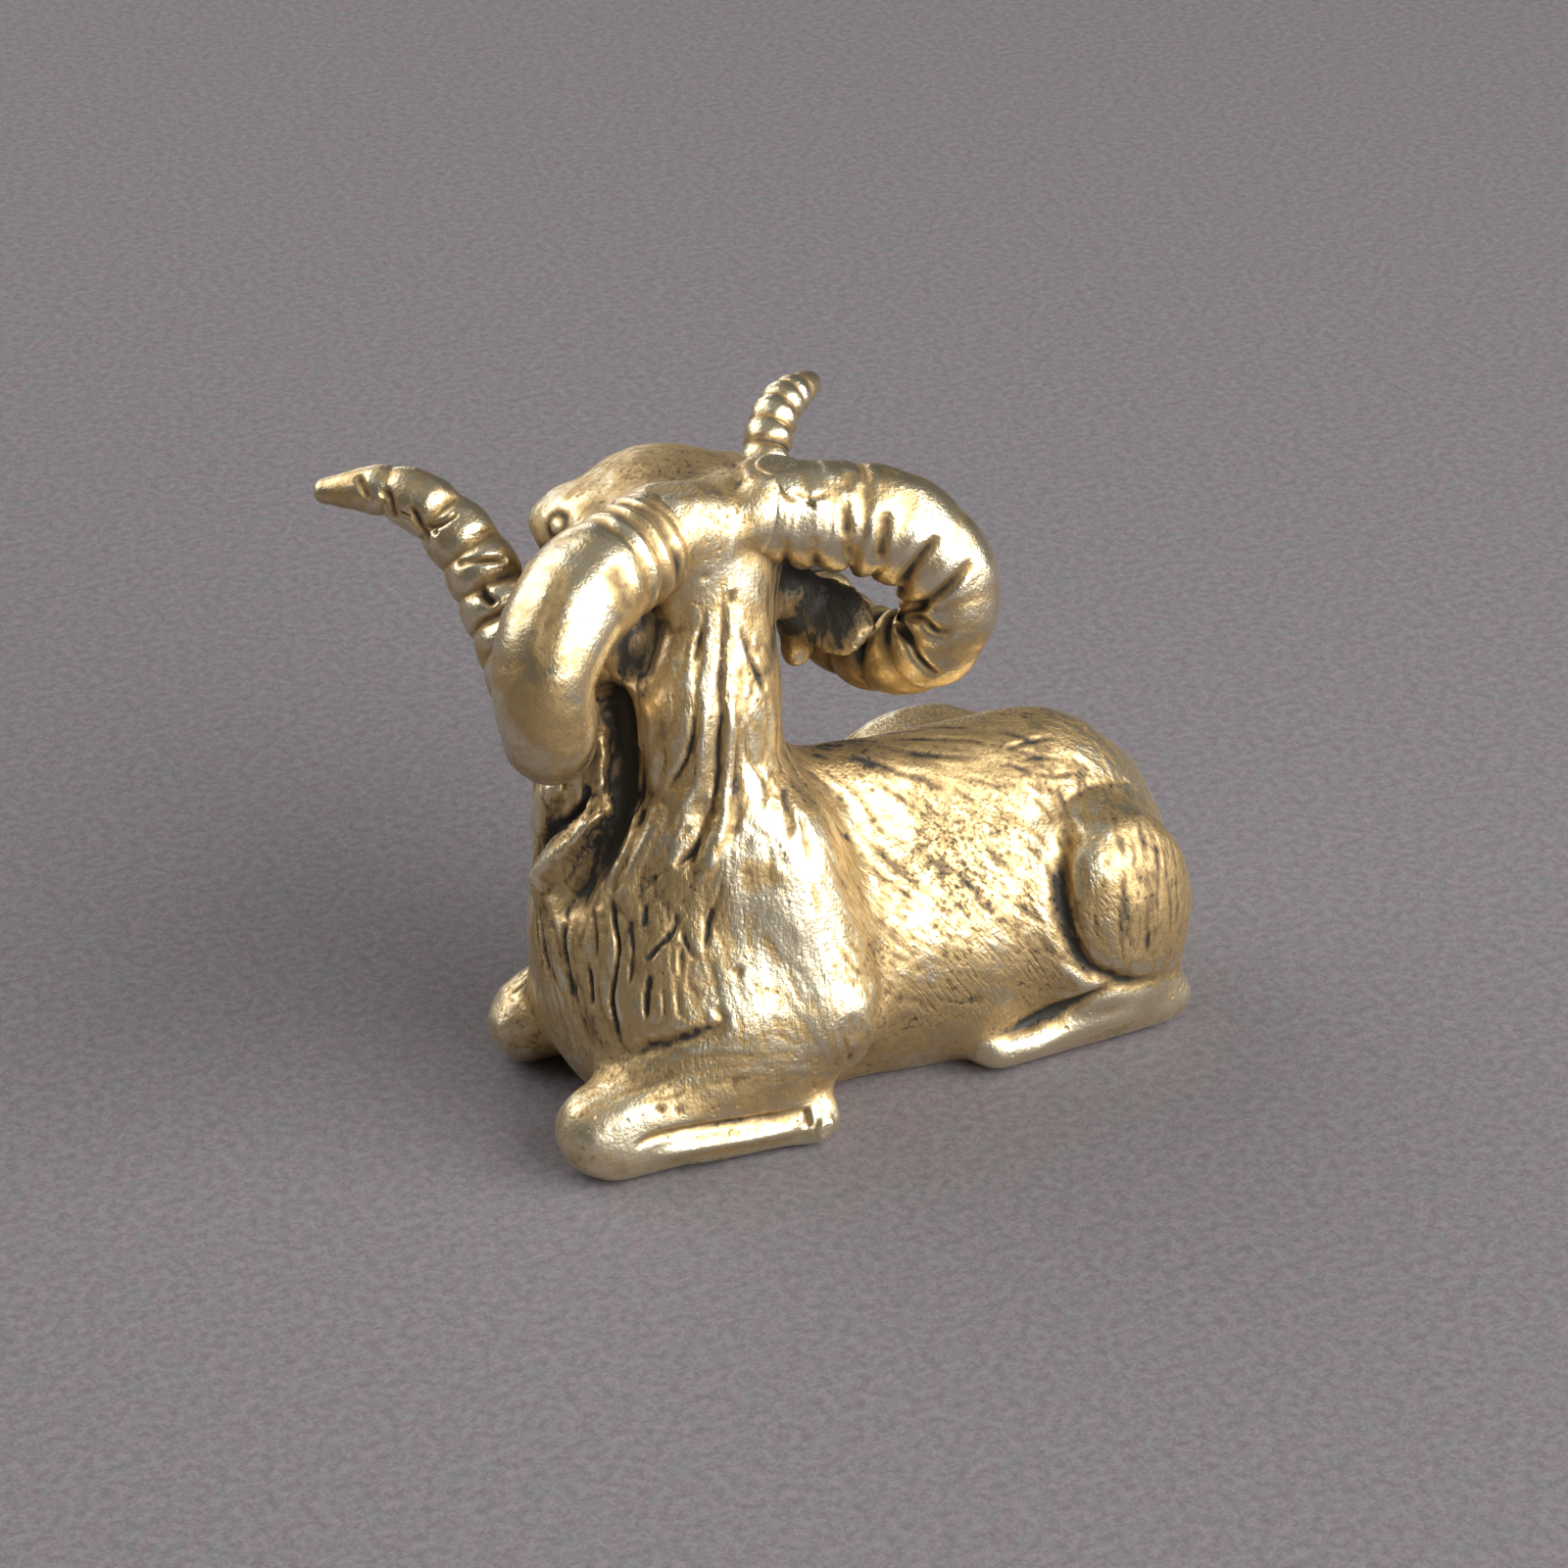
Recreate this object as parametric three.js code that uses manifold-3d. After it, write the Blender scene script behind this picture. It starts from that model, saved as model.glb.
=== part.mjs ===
import * as THREE from 'three';
import { mergeVertices } from 'three/addons/utils/BufferGeometryUtils.js';
import Module from 'manifold-3d';

const wasm = await Module();
wasm.setup();

// A small cast brass goat that lies with its legs folded and looks over its right shoulder.
// Its two ringed horns are castings of their own, each pinned to a stump on the skull.
// Millimetres. +X points to the chest, +Y to the goat's left and +Z up. The origin is on the
// flat underside, on the middle plane of the torso. The near side is the goat's left.

// Torso, from the rump to the chest
const bodyLength = 36;
const chestFront = 17.2;
const rumpEnd = chestFront - bodyLength;
const barrelWidth = 16.4;
const barrelHeight = 15.2;
const barrelCentreHeight = 6.6;
const barrelRearInset = 2.3;
const barrelFrontInset = 7.7;
const chestWidth = 16.4;
const chestHeight = 15.6;
const chestCentreHeight = 7;
const chestLength = 18;
const brisketX = 10.7;
const brisketLength = 13;
const brisketWidth = 17;
const brisketCentreHeight = 6.6;
const rumpWidth = 14;
const rumpHeight = 15.4;
const rumpCentreHeight = 6.6;
const rumpLength = 16;
const withersX = 6;
const withersHeight = 18.2;
const croupInset = 7.3;
const croupHeight = 15.8;
const spineRadius = 2.4;
const torsoBlend = 3;

// Tail, pressed against the rump and turned to the far side
const tailInset = 2;
const tailHeight = 11.6;
const tailLength = 4;
const tailRadius = 1.1;
const tailY = -0.8;

// Hind legs
const thighInset = 7.1;
const thighLength = 10.4;
const thighHeight = 13;
const farThighInset = 11.4;
const farThighLength = 15;
const farThighHeight = 14.2;
const thighLift = 0.6;
const thighWidth = 7;
const thighSpread = 6.4;
const hockInset = 3.6;
const hockRadius = 1.8;
const hindFootLength = 10.6;
const hindToeRadius = 1.35;
const hindFootSpread = 7;

// Front legs, folded under the chest, with the near knee a little ahead
const shoulderX = 7.6;
const shoulderHeight = 18.6;
const shoulderSpread = 3.6;
const shoulderRadius = 4.3;
const elbowX = 5.2;
const elbowHeight = 6.4;
const elbowSpread = 6.4;
const elbowRadius = 3.4;
const forearmX = 8;
const forearmHeight = 4.7;
const forearmSpread = 6.4;
const forearmRadius = 3;
const kneeX = 17.3;
const kneeLead = 1.9;
const kneeSpread = 5.8;
const kneeRadius = 2.4;
const cannonRadius = 1.15;
const hoofX = 7.3;
const hoofLength = 0.8;
const hoofSpread = 8.6;
const hoofRadius = 1.25;
const groundSink = 0.1;
const legBlend = 0.9;
const thighBlend = 1.2;

// Neck, with the long hair that hangs round it down to the chest
const neckBase = { x: 10.2, y: -0.5, z: 12 };
const neckBaseRadius = 6.5;
const neckMiddle = { x: 9.1, y: -0.3, z: 22 };
const neckRadius = 3.9;
const napeRadius = 3.6;
const napeDrop = 4.6;
const ruffFoot = { x: 12, y: -2.5, z: 10 };
const ruffTop = { x: 12.1, y: -4.5, z: 19 };
const ruffRadius = 4.6;
const ruffTopRadius = 4.1;
const throat = { x: 9.7, y: -4.5, z: 17 };
const throatRadius = 3.6;
const jawRadius = 2.8;
const jawDrop = 10;
const neckBlend = 2.4;

// Hollow between the throat and the hair on the near side of the neck
const hollowTop = { x: 13.3, y: -0.7, z: 22.6 };
const hollowMiddle = { x: 14.3, y: 0.9, z: 18.6 };
const hollowFoot = { x: 17, y: 0.3, z: 12.6 };
const hollowRadius = 1.35;
const hollowFootRadius = 0.9;
const hollowBlend = 0.6;

// Head, which faces the goat's right
const headPlane = 7.7;
const pollHeight = 33.6;
const skullY = -6.2;
const skullWidth = 10.4;
const skullLength = 11;
const skullHeight = 9.4;
const skullDrop = 0.3;
const muzzleY = -7.2;
const muzzleDrop = 5.6;
const muzzleRadius = 4;
const noseY = -14;
const noseDrop = 12;
const noseRadius = 2.3;
const browSpread = 4.7;
const browRadius = 1.9;
const browDrop = 4.1;
const browRise = 1.2;
const browLength = 4.6;
const earRoot = { spread: 5.2, y: -2.2, drop: 7.6 };
const earTip = { spread: 6.3, y: -2.8, drop: 12.4 };
const earRadius = 1.7;
const earTipRadius = 0.9;
const beardY = -10.4;
const beardDrop = 14.4;
const beardLength = 6;
const beardRadius = 1.9;
const beardTipRadius = 1;
const headBlend = 1.2;

// Horns. The middle line runs from the stump outwards, down round the curl, up again beside
// the face and out to the tip. A point gives its spread from the head's middle plane, its y and
// its drop from the poll.
const hornRoot = { spread: 3.8, y: -0.5, drop: 2.2 };
const hornShoulder = { spread: 9.2, y: 1.5, drop: 3.5 };
const curlBack = { spread: 11.5, y: 2.9, drop: 6.2 };
const curlLow = { spread: 11.2, y: 2.7, drop: 9.4 };
const curlBottom = { spread: 9.9, y: 0.2, drop: 11.3 };
const curlFront = { spread: 8.6, y: -4, drop: 11.1 };
const hornReturn = { spread: 8.2, y: -8.2, drop: 8.9 };
const hornRise = { spread: 8.9, y: -11.6, drop: 5.5 };
const hornFlare = { spread: 11, y: -14.2, drop: 3.5 };
const hornTip = { spread: 14.8, y: -17, drop: 3.55 };
const hornLine = [
  hornRoot, hornShoulder, curlBack, curlLow, curlBottom,
  curlFront, hornReturn, hornRise, hornFlare, hornTip,
];
const curlCentre = { spread: 9, y: -2, drop: 6.8 };
const hornRootRadius = 2.7;
const hornFullRadius = 2.88;
const hornSideRadius = 2.6;
const hornLowRadius = 2.15;
const hornReturnRadius = 2.1;
const hornHookRadius = 1.75;
const hornPointRadius = 1.3;
const hornTipRadius = 0.45;
const ribCount = 18;
const ribDepth = 0.2;
const stumpRadius = 2.45;
const stumpLength = 1.9;
const stumpInset = 0.4;

// Butt joints between the horns and the skull, each held by a blind dowel
const jointGap = 0.3;
const dowelRadius = 0.8;
const dowelReach = 2.4;

// Facets
const torsoCell = 1.15;
const headCell = 0.95;
const hornSides = 14;
const dowelSides = 16;
const stepsPerRib = 4;

const brass = { metalness: 1, roughness: 0.38 };
const finishes = {
  casting: new THREE.MeshStandardMaterial({ color: 0xb39a63, ...brass }),
  horn: new THREE.MeshStandardMaterial({ color: 0xc2a566, ...brass }),
  dowel: new THREE.MeshStandardMaterial({ color: 0xcaa85a, ...brass }),
};

// Clay forms. Each is a function that gives a point's distance to the form's skin, negative
// inside, so that forms can be joined with a soft fillet where they meet.
const ellipsoid = (cx, cy, cz, rx, ry, rz) => (x, y, z) => {
  const [px, py, pz] = [(x - cx) / rx, (y - cy) / ry, (z - cz) / rz];
  const reach = Math.hypot(px, py, pz);
  const slope = Math.hypot(px / rx, py / ry, pz / rz);
  return slope > 0 ? (reach * (reach - 1)) / slope : -Math.min(rx, ry, rz);
};

const limb = (from, to, fromRadius, toRadius) => {
  const along = new THREE.Vector3().subVectors(to, from);
  const square = along.lengthSq();
  return (x, y, z) => {
    const [px, py, pz] = [x - from.x, y - from.y, z - from.z];
    const share = (px * along.x + py * along.y + pz * along.z) / square;
    const t = Math.min(Math.max(share, 0), 1);
    const gap = Math.hypot(px - t * along.x, py - t * along.y, pz - t * along.z);
    return gap - fromRadius - t * (toRadius - fromRadius);
  };
};

const point = (x, y, z) => new THREE.Vector3(x, y, z);

const softMin = (a, b, blend) => {
  const mix = Math.max(blend - Math.abs(a - b), 0) / blend;
  return Math.min(a, b) - (mix * mix * blend) / 4;
};

const join = (blend, ...forms) => (x, y, z) =>
  forms.reduce((sum, form) => softMin(sum, form(x, y, z), blend), Infinity);

// A form for each side of the body, both written for the goat's left
const sides = (near, far) => (x, y, z) => (y > 0 ? near(x, y, z) : far(x, -y, z));

// Both sides of the turned head, from one form on the side of +X
const headPair = (form) => (x, y, z) => form(headPlane + Math.abs(x - headPlane), y, z);

function torso() {
  const barrelLength = bodyLength - barrelRearInset - barrelFrontInset;
  const barrel = ellipsoid(
    rumpEnd + barrelRearInset + barrelLength / 2, 0, barrelCentreHeight,
    barrelLength / 2, barrelWidth / 2, barrelHeight - barrelCentreHeight,
  );
  const chest = ellipsoid(
    chestFront - chestLength / 2, 0, chestCentreHeight,
    chestLength / 2, chestWidth / 2, chestHeight - chestCentreHeight,
  );
  const brisket = ellipsoid(
    brisketX, 0, brisketCentreHeight, brisketLength / 2, brisketWidth / 2, brisketCentreHeight,
  );
  const rump = ellipsoid(
    rumpEnd + rumpLength / 2, 0, rumpCentreHeight,
    rumpLength / 2, rumpWidth / 2, rumpHeight - rumpCentreHeight,
  );
  const spine = limb(
    point(withersX, 0, withersHeight - spineRadius),
    point(rumpEnd + croupInset, 0, croupHeight - spineRadius), spineRadius, spineRadius,
  );
  const tail = limb(
    point(rumpEnd + tailInset, tailY, tailHeight),
    point(rumpEnd + tailInset / 4, 2 * tailY, tailHeight - tailLength),
    tailRadius, tailRadius / 2,
  );
  return join(legBlend, join(torsoBlend, barrel, chest, brisket, rump, spine), tail);
}

function hindLeg(inset, length, height) {
  const thigh = ellipsoid(
    rumpEnd + inset, thighSpread, thighLift + height / 2, length / 2, thighWidth / 2, height / 2,
  );
  const hockX = rumpEnd + hockInset;
  const shin = limb(
    point(hockX, hindFootSpread, hockRadius - groundSink),
    point(hockX + hindFootLength, hindFootSpread, hindToeRadius - groundSink),
    hockRadius, hindToeRadius,
  );
  return join(legBlend, thigh, shin);
}

function frontLeg(kneePlace) {
  const elbow = point(elbowX, elbowSpread, elbowHeight);
  const knee = point(kneePlace, kneeSpread, kneeRadius);
  const hoofStart = point(hoofX, hoofSpread, hoofRadius - groundSink);
  const hoofEnd = point(hoofX - hoofLength, hoofSpread, hoofRadius - groundSink);
  const cannonStart = point(
    kneePlace - groundSink, kneeSpread + kneeRadius - cannonRadius, cannonRadius - groundSink,
  );
  const cannonEnd = point(hoofX, hoofSpread, cannonRadius - groundSink);
  return join(
    legBlend,
    limb(
      point(shoulderX, shoulderSpread, shoulderHeight - shoulderRadius), elbow,
      shoulderRadius, elbowRadius,
    ),
    limb(point(forearmX, forearmSpread, forearmHeight), knee, forearmRadius, kneeRadius),
    limb(cannonStart, cannonEnd, cannonRadius, cannonRadius),
    limb(hoofStart, hoofEnd, hoofRadius, hoofRadius),
  );
}

function neck() {
  const nape = point(headPlane, skullY + skullLength / 2, pollHeight - napeDrop);
  nape.y -= napeRadius / 4;
  const jaw = point(headPlane, muzzleY - jawRadius / 4, pollHeight - jawDrop);
  return join(
    neckBlend,
    limb(neckBase, neckMiddle, neckBaseRadius, neckRadius),
    limb(neckMiddle, nape, neckRadius, napeRadius),
    limb(ruffFoot, ruffTop, ruffRadius, ruffTopRadius),
    limb(jaw, throat, jawRadius, throatRadius),
  );
}

function throatHollow() {
  return [
    limb(hollowTop, hollowMiddle, hollowRadius, hollowRadius),
    limb(hollowMiddle, hollowFoot, hollowRadius, hollowFootRadius),
  ];
}

function head() {
  const skull = ellipsoid(
    headPlane, skullY, pollHeight - skullDrop - skullHeight / 2,
    skullWidth / 2, skullLength / 2, skullHeight / 2,
  );
  const muzzle = limb(
    point(headPlane, muzzleY, pollHeight - muzzleDrop),
    point(headPlane, noseY, pollHeight - noseDrop), muzzleRadius, noseRadius,
  );
  const browX = headPlane + browSpread;
  const brow = limb(
    point(browX, skullY - browLength / 2, pollHeight - browDrop),
    point(browX - browRise / 2, skullY + browLength / 2, pollHeight - browDrop + browRise),
    browRadius, browRadius,
  );
  const ear = limb(
    point(headPlane + earRoot.spread, earRoot.y, pollHeight - earRoot.drop),
    point(headPlane + earTip.spread, earTip.y, pollHeight - earTip.drop),
    earRadius, earTipRadius,
  );
  const beardHeight = pollHeight - beardDrop;
  const beard = limb(
    point(headPlane, beardY, beardHeight),
    point(headPlane, beardY + beardRadius / 2, beardHeight - beardLength),
    beardRadius, beardTipRadius,
  );
  return join(headBlend, skull, muzzle, headPair(brow), headPair(ear), beard, headPair(stump()));
}

// Two corners of a grid square that lie inside alone, and face each other, would pinch the
// skin. There the corner nearest the skin changes side, until no square is left like that.
function unpinch(value, [nx, ny, nz], change) {
  const strides = [1, nx, nx * ny];
  const limits = [nx, ny, nz];
  let pinched = true;
  while (pinched) {
    pinched = false;
    for (const [u, v] of [[0, 1], [1, 2], [2, 0]]) {
      for (let index = 0; index < value.length; index++) {
        const place = [index % nx, Math.floor(index / nx) % ny, Math.floor(index / (nx * ny))];
        if (place[u] + 1 >= limits[u] || place[v] + 1 >= limits[v]) continue;
        const next = index + strides[u];
        const square = [index, next, next + strides[v], index + strides[v]];
        const [a, b, c, d] = square.map((corner) => value[corner] < 0);
        if (a !== c || b !== d || a === b) continue;
        const nearest = square.reduce((m, q) => (Math.abs(value[q]) < Math.abs(value[m]) ? q : m));
        value[nearest] = value[nearest] < 0 ? change : -change;
        pinched = true;
      }
    }
  }
}

// Turns a field of distances into a closed skin of facets about one grid cell wide: each cell
// that the skin crosses gets one vertex, and each grid line that it crosses gets one quad.
function skinOf(field, xs, ys, zs) {
  const [nx, ny, nz] = [xs.length, ys.length, zs.length];
  const at = (i, j, k) => (k * ny + j) * nx + i;
  const value = new Float64Array(nx * ny * nz);
  for (let k = 0; k < nz; k++) {
    for (let j = 0; j < ny; j++) {
      for (let i = 0; i < nx; i++) value[at(i, j, k)] = field(xs[i], ys[j], zs[k]);
    }
  }
  const smallChange = headCell / 20;
  unpinch(value, [nx, ny, nz], smallChange);

  const corners = [0, 1, 2, 3, 4, 5, 6, 7].map((c) => [c & 1, (c >> 1) & 1, (c >> 2) & 1]);
  const edges = [1, 2, 4].flatMap(
    (bit) => [0, 1, 2, 3, 4, 5, 6, 7].filter((a) => !(a & bit)).map((a) => [a, a | bit]),
  );
  const placeOf = ([di, dj, dk], i, j, k) => [xs[i + di], ys[j + dj], zs[k + dk]];
  const vertexOf = new Int32Array(value.length).fill(-1);
  const positions = [];
  for (let k = 0; k < nz - 1; k++) {
    for (let j = 0; j < ny - 1; j++) {
      for (let i = 0; i < nx - 1; i++) {
        const v = corners.map(([di, dj, dk]) => value[at(i + di, j + dj, k + dk)]);
        const crossed = edges.filter(([a, b]) => v[a] < 0 !== v[b] < 0);
        if (crossed.length === 0) continue;
        const sum = [0, 0, 0];
        for (const [a, b] of crossed) {
          const t = v[a] / (v[a] - v[b]);
          const [from, to] = [placeOf(corners[a], i, j, k), placeOf(corners[b], i, j, k)];
          for (let axis = 0; axis < 3; axis++) sum[axis] += from[axis] + t * (to[axis] - from[axis]);
        }
        vertexOf[at(i, j, k)] = positions.length / 3;
        positions.push(...sum.map((s) => s / crossed.length));
      }
    }
  }

  const triangles = [];
  const quad = (a, b, c, d, flip) => {
    if (flip) triangles.push(a, d, c, a, c, b);
    else triangles.push(a, b, c, a, c, d);
  };
  for (let k = 1; k < nz - 1; k++) {
    for (let j = 1; j < ny - 1; j++) {
      for (let i = 1; i < nx - 1; i++) {
        const inside = value[at(i, j, k)] < 0;
        const cell = (di, dj, dk) => vertexOf[at(i - di, j - dj, k - dk)];
        if (inside !== value[at(i + 1, j, k)] < 0) {
          quad(cell(0, 1, 1), cell(0, 0, 1), cell(0, 0, 0), cell(0, 1, 0), !inside);
        }
        if (inside !== value[at(i, j + 1, k)] < 0) {
          quad(cell(1, 0, 1), cell(1, 0, 0), cell(0, 0, 0), cell(0, 0, 1), !inside);
        }
        if (inside !== value[at(i, j, k + 1)] < 0) {
          quad(cell(1, 1, 0), cell(0, 1, 0), cell(0, 0, 0), cell(1, 0, 0), !inside);
        }
      }
    }
  }
  return indexed(positions, triangles);
}

function indexed(positions, triangles) {
  const geometry = new THREE.BufferGeometry();
  geometry.setAttribute('position', new THREE.Float32BufferAttribute(positions, 3));
  geometry.setIndex(triangles);
  return geometry;
}

// Booleans
function solid(geometry) {
  const bare = geometry.clone();
  bare.deleteAttribute('normal');
  bare.deleteAttribute('uv');
  const merged = mergeVertices(bare);
  return new wasm.Manifold(new wasm.Mesh({
    numProp: 3,
    vertProperties: new Float32Array(merged.getAttribute('position').array),
    triVerts: new Uint32Array(merged.index.array),
  }));
}

function geometryOf(manifold) {
  const { vertProperties, triVerts } = manifold.getMesh();
  const geometry = indexed(Array.from(vertProperties), Array.from(triVerts));
  geometry.computeVertexNormals();
  return geometry;
}

// Horns
function hornCurve(side) {
  const points = hornLine.map(
    ({ spread, y, drop }) => point(headPlane + side * spread, y, pollHeight - drop),
  );
  return new THREE.CatmullRomCurve3(points, false, 'centripetal');
}

const hornTaper = [
  [0, hornRootRadius],
  [0.12, hornFullRadius],
  [0.26, hornSideRadius],
  [0.42, hornLowRadius],
  [0.6, hornReturnRadius],
  [0.76, hornHookRadius],
  [0.9, hornPointRadius],
  [1, hornTipRadius],
];

function hornRadius(t) {
  const stop = Math.max(hornTaper.findIndex(([end]) => end >= t), 1);
  const [[start, from], [end, to]] = [hornTaper[stop - 1], hornTaper[stop]];
  return THREE.MathUtils.mapLinear(t, start, end, from, to);
}

// The skin of one horn, or with an allowance the room that the head leaves for it. A groove
// between two ribs is deepest on the inside of the curl.
function hornSkin(side, allowance = 0) {
  const curve = hornCurve(side);
  const steps = ribCount * stepsPerRib;
  const { tangents, normals, binormals } = curve.computeFrenetFrames(steps, false);
  const centre = point(
    headPlane + side * curlCentre.spread, curlCentre.y, pollHeight - curlCentre.drop,
  );
  const positions = [];
  for (let i = 0; i <= steps; i++) {
    const atEnd = i === 0 || i === steps;
    const middle = curve.getPointAt(i / steps);
    if (atEnd) middle.addScaledVector(tangents[i], i === 0 ? -allowance : allowance);
    const inward = centre.clone().sub(middle).normalize();
    const depth = atEnd || i % stepsPerRib > 0 ? 0 : ribDepth;
    for (let s = 0; s < hornSides; s++) {
      const angle = (s / hornSides) * Math.PI * 2;
      const out = normals[i].clone().multiplyScalar(Math.cos(angle));
      out.addScaledVector(binormals[i], Math.sin(angle));
      const groove = depth * (2 + out.dot(inward)) / 3;
      const radius = hornRadius(i / steps) * (1 - groove) + allowance;
      positions.push(...middle.clone().addScaledVector(out, radius));
    }
  }
  const triangles = [];
  const last = steps * hornSides;
  for (let ring = 0; ring < last; ring += hornSides) {
    for (let s = 0; s < hornSides; s++) {
      const [a, b] = [ring + s, ring + ((s + 1) % hornSides)];
      triangles.push(a, b, b + hornSides, a, b + hornSides, a + hornSides);
    }
  }
  for (let s = 1; s < hornSides - 1; s++) {
    triangles.push(0, s + 1, s, last, last + s, last + s + 1);
  }
  return indexed(positions, triangles);
}

function rootOf(side) {
  const curve = hornCurve(side);
  return { middle: curve.getPointAt(0), direction: curve.getTangentAt(0) };
}

// The stump on the skull that the horn butts against
function stump() {
  const { middle, direction } = rootOf(1);
  const inner = middle.clone().addScaledVector(direction, stumpInset - stumpLength);
  const outer = middle.clone().addScaledVector(direction, stumpInset);
  return limb(inner, outer, stumpRadius, stumpRadius);
}

// A pin on the line of the horn's root, centred on the joint
function pin(side, radius, reach) {
  const { middle, direction } = rootOf(side);
  const geometry = new THREE.CylinderGeometry(radius, radius, 2 * reach, dowelSides);
  const along = new THREE.Quaternion().setFromUnitVectors(point(0, 1, 0), direction);
  return geometry.applyQuaternion(along).translate(...middle);
}

const dowelBore = (side) => solid(pin(side, dowelRadius + jointGap, dowelReach + jointGap));

function horn(side) {
  return geometryOf(solid(hornSkin(side)).subtract(dowelBore(side)));
}

// Body
function gridLine(from, to, cell) {
  const count = Math.ceil((to - from) / cell);
  return Array.from({ length: count + 1 }, (_, i) => from + ((to - from) * i) / count);
}

function body() {
  const haunches = sides(
    hindLeg(thighInset, thighLength, thighHeight),
    hindLeg(farThighInset, farThighLength, farThighHeight),
  );
  const lower = join(
    legBlend, join(thighBlend, torso(), haunches),
    sides(frontLeg(kneeX + kneeLead / 2), frontLeg(kneeX - kneeLead / 2)),
  );
  const upper = join(headBlend, neck(), head());
  const whole = join(neckBlend, lower, upper);
  const hollow = join(hollowRadius, ...throatHollow());
  const belowGround = torsoCell;
  const clay = (x, y, z) => Math.max(
    -softMin(-whole(x, y, z), hollow(x, y, z), hollowBlend), -z - belowGround,
  );

  const margin = 3 * torsoCell;
  const back = rumpEnd + Math.min(
    0, hockInset - hockRadius, thighInset - thighLength / 2, farThighInset - farThighLength / 2,
  );
  const front = Math.max(
    chestFront, brisketX + brisketLength / 2, kneeX + kneeLead / 2 + kneeRadius,
    ruffFoot.x + ruffRadius, neckBase.x + neckBaseRadius,
  );
  const side = Math.max(
    barrelWidth / 2, brisketWidth / 2, shoulderSpread + shoulderRadius, elbowSpread + elbowRadius,
    hoofSpread + hoofRadius, thighSpread + thighWidth / 2, hindFootSpread + hockRadius,
  );
  const far = Math.min(noseY - noseRadius, -side);
  const top = pollHeight + Math.max(stumpRadius, browRadius);
  const shoulders = (withersHeight + pollHeight) / 3;
  const zs = gridLine(-belowGround - margin, shoulders, torsoCell);
  zs.push(...gridLine(shoulders, top + margin, headCell).slice(1));
  const skin = skinOf(
    clay, gridLine(back - margin, front + margin, torsoCell),
    gridLine(far - margin, side + margin, torsoCell), zs,
  );

  const groundSize = 4 * (front - back);
  const ground = new THREE.BoxGeometry(groundSize, groundSize, groundSize);
  ground.translate(0, 0, -groundSize / 2);
  let casting = solid(skin).subtract(solid(ground));
  for (const end of [1, -1]) {
    casting = casting.subtract(solid(hornSkin(end, jointGap))).subtract(dowelBore(end));
  }
  return geometryOf(casting);
}

function piece(name, geometry, finish) {
  const mesh = new THREE.Mesh(geometry, finish);
  mesh.name = name;
  return mesh;
}

const goat = new THREE.Group();
goat.add(piece('body_casting', body(), finishes.casting));
for (const [name, side] of [['left', 1], ['right', -1]]) {
  goat.add(piece(`${name}_horn`, horn(side), finishes.horn));
  goat.add(piece(`${name}_horn_dowel`, pin(side, dowelRadius, dowelReach), finishes.dowel));
}

export default goat;
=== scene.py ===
import math

import bmesh
import bpy
import numpy as np
from mathutils import Matrix, Vector
from mathutils.bvhtree import BVHTree
from mathutils.kdtree import KDTree


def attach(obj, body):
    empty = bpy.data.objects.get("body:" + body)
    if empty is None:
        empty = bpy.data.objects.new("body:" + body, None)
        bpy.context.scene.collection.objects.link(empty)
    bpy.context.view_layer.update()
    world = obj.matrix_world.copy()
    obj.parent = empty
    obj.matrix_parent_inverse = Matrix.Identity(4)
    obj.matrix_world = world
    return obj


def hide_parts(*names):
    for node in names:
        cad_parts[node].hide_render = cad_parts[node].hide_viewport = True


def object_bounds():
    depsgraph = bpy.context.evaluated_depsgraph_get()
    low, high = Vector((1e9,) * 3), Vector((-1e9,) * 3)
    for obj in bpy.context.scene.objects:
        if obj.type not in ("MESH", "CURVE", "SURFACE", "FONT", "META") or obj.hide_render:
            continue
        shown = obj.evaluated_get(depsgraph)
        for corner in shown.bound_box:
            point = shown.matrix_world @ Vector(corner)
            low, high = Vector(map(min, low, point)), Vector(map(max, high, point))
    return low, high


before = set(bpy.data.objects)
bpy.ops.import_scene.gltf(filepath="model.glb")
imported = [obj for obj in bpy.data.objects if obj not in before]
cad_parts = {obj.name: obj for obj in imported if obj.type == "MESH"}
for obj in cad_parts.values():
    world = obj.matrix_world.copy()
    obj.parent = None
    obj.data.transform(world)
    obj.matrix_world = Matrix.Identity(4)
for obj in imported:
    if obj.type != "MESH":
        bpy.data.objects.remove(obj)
cad_low, cad_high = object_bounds()

# Lengths are in millimetres until a mesh is made
MM = 0.001
# The goat's left and right, seen from its tail
SIDES = LEFT_SIDE, RIGHT_SIDE = 1, -1
SCENE = bpy.context.scene

# Camera, fitted to the photograph: where it stands, how it is turned and its focal length in
# picture widths
PICTURE = 1600
EYE = np.array([115.725, 201.303, 138.470])
TURN, LIFT = math.radians(29), math.radians(28)
RIGHT = np.array([-math.cos(TURN), math.sin(TURN), 0])
BACK = np.array([
    math.sin(TURN) * math.cos(LIFT), math.cos(TURN) * math.cos(LIFT), math.sin(LIFT),
])
UP = np.cross(BACK, RIGHT)
FOCAL = 5130 / PICTURE
SENSOR, NEAR_END, FAR_END = 36, 0.01, 5


def make_camera():
    camera = bpy.data.objects.new("camera", bpy.data.cameras.new("camera"))
    SCENE.collection.objects.link(camera)
    camera.data.sensor_width = SENSOR
    camera.data.lens = SENSOR * FOCAL
    camera.data.clip_start, camera.data.clip_end = NEAR_END, FAR_END
    turned = Matrix((RIGHT, UP, BACK)).transposed().to_4x4()
    camera.matrix_world = Matrix.Translation(EYE * MM) @ turned
    SCENE.camera = camera


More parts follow.
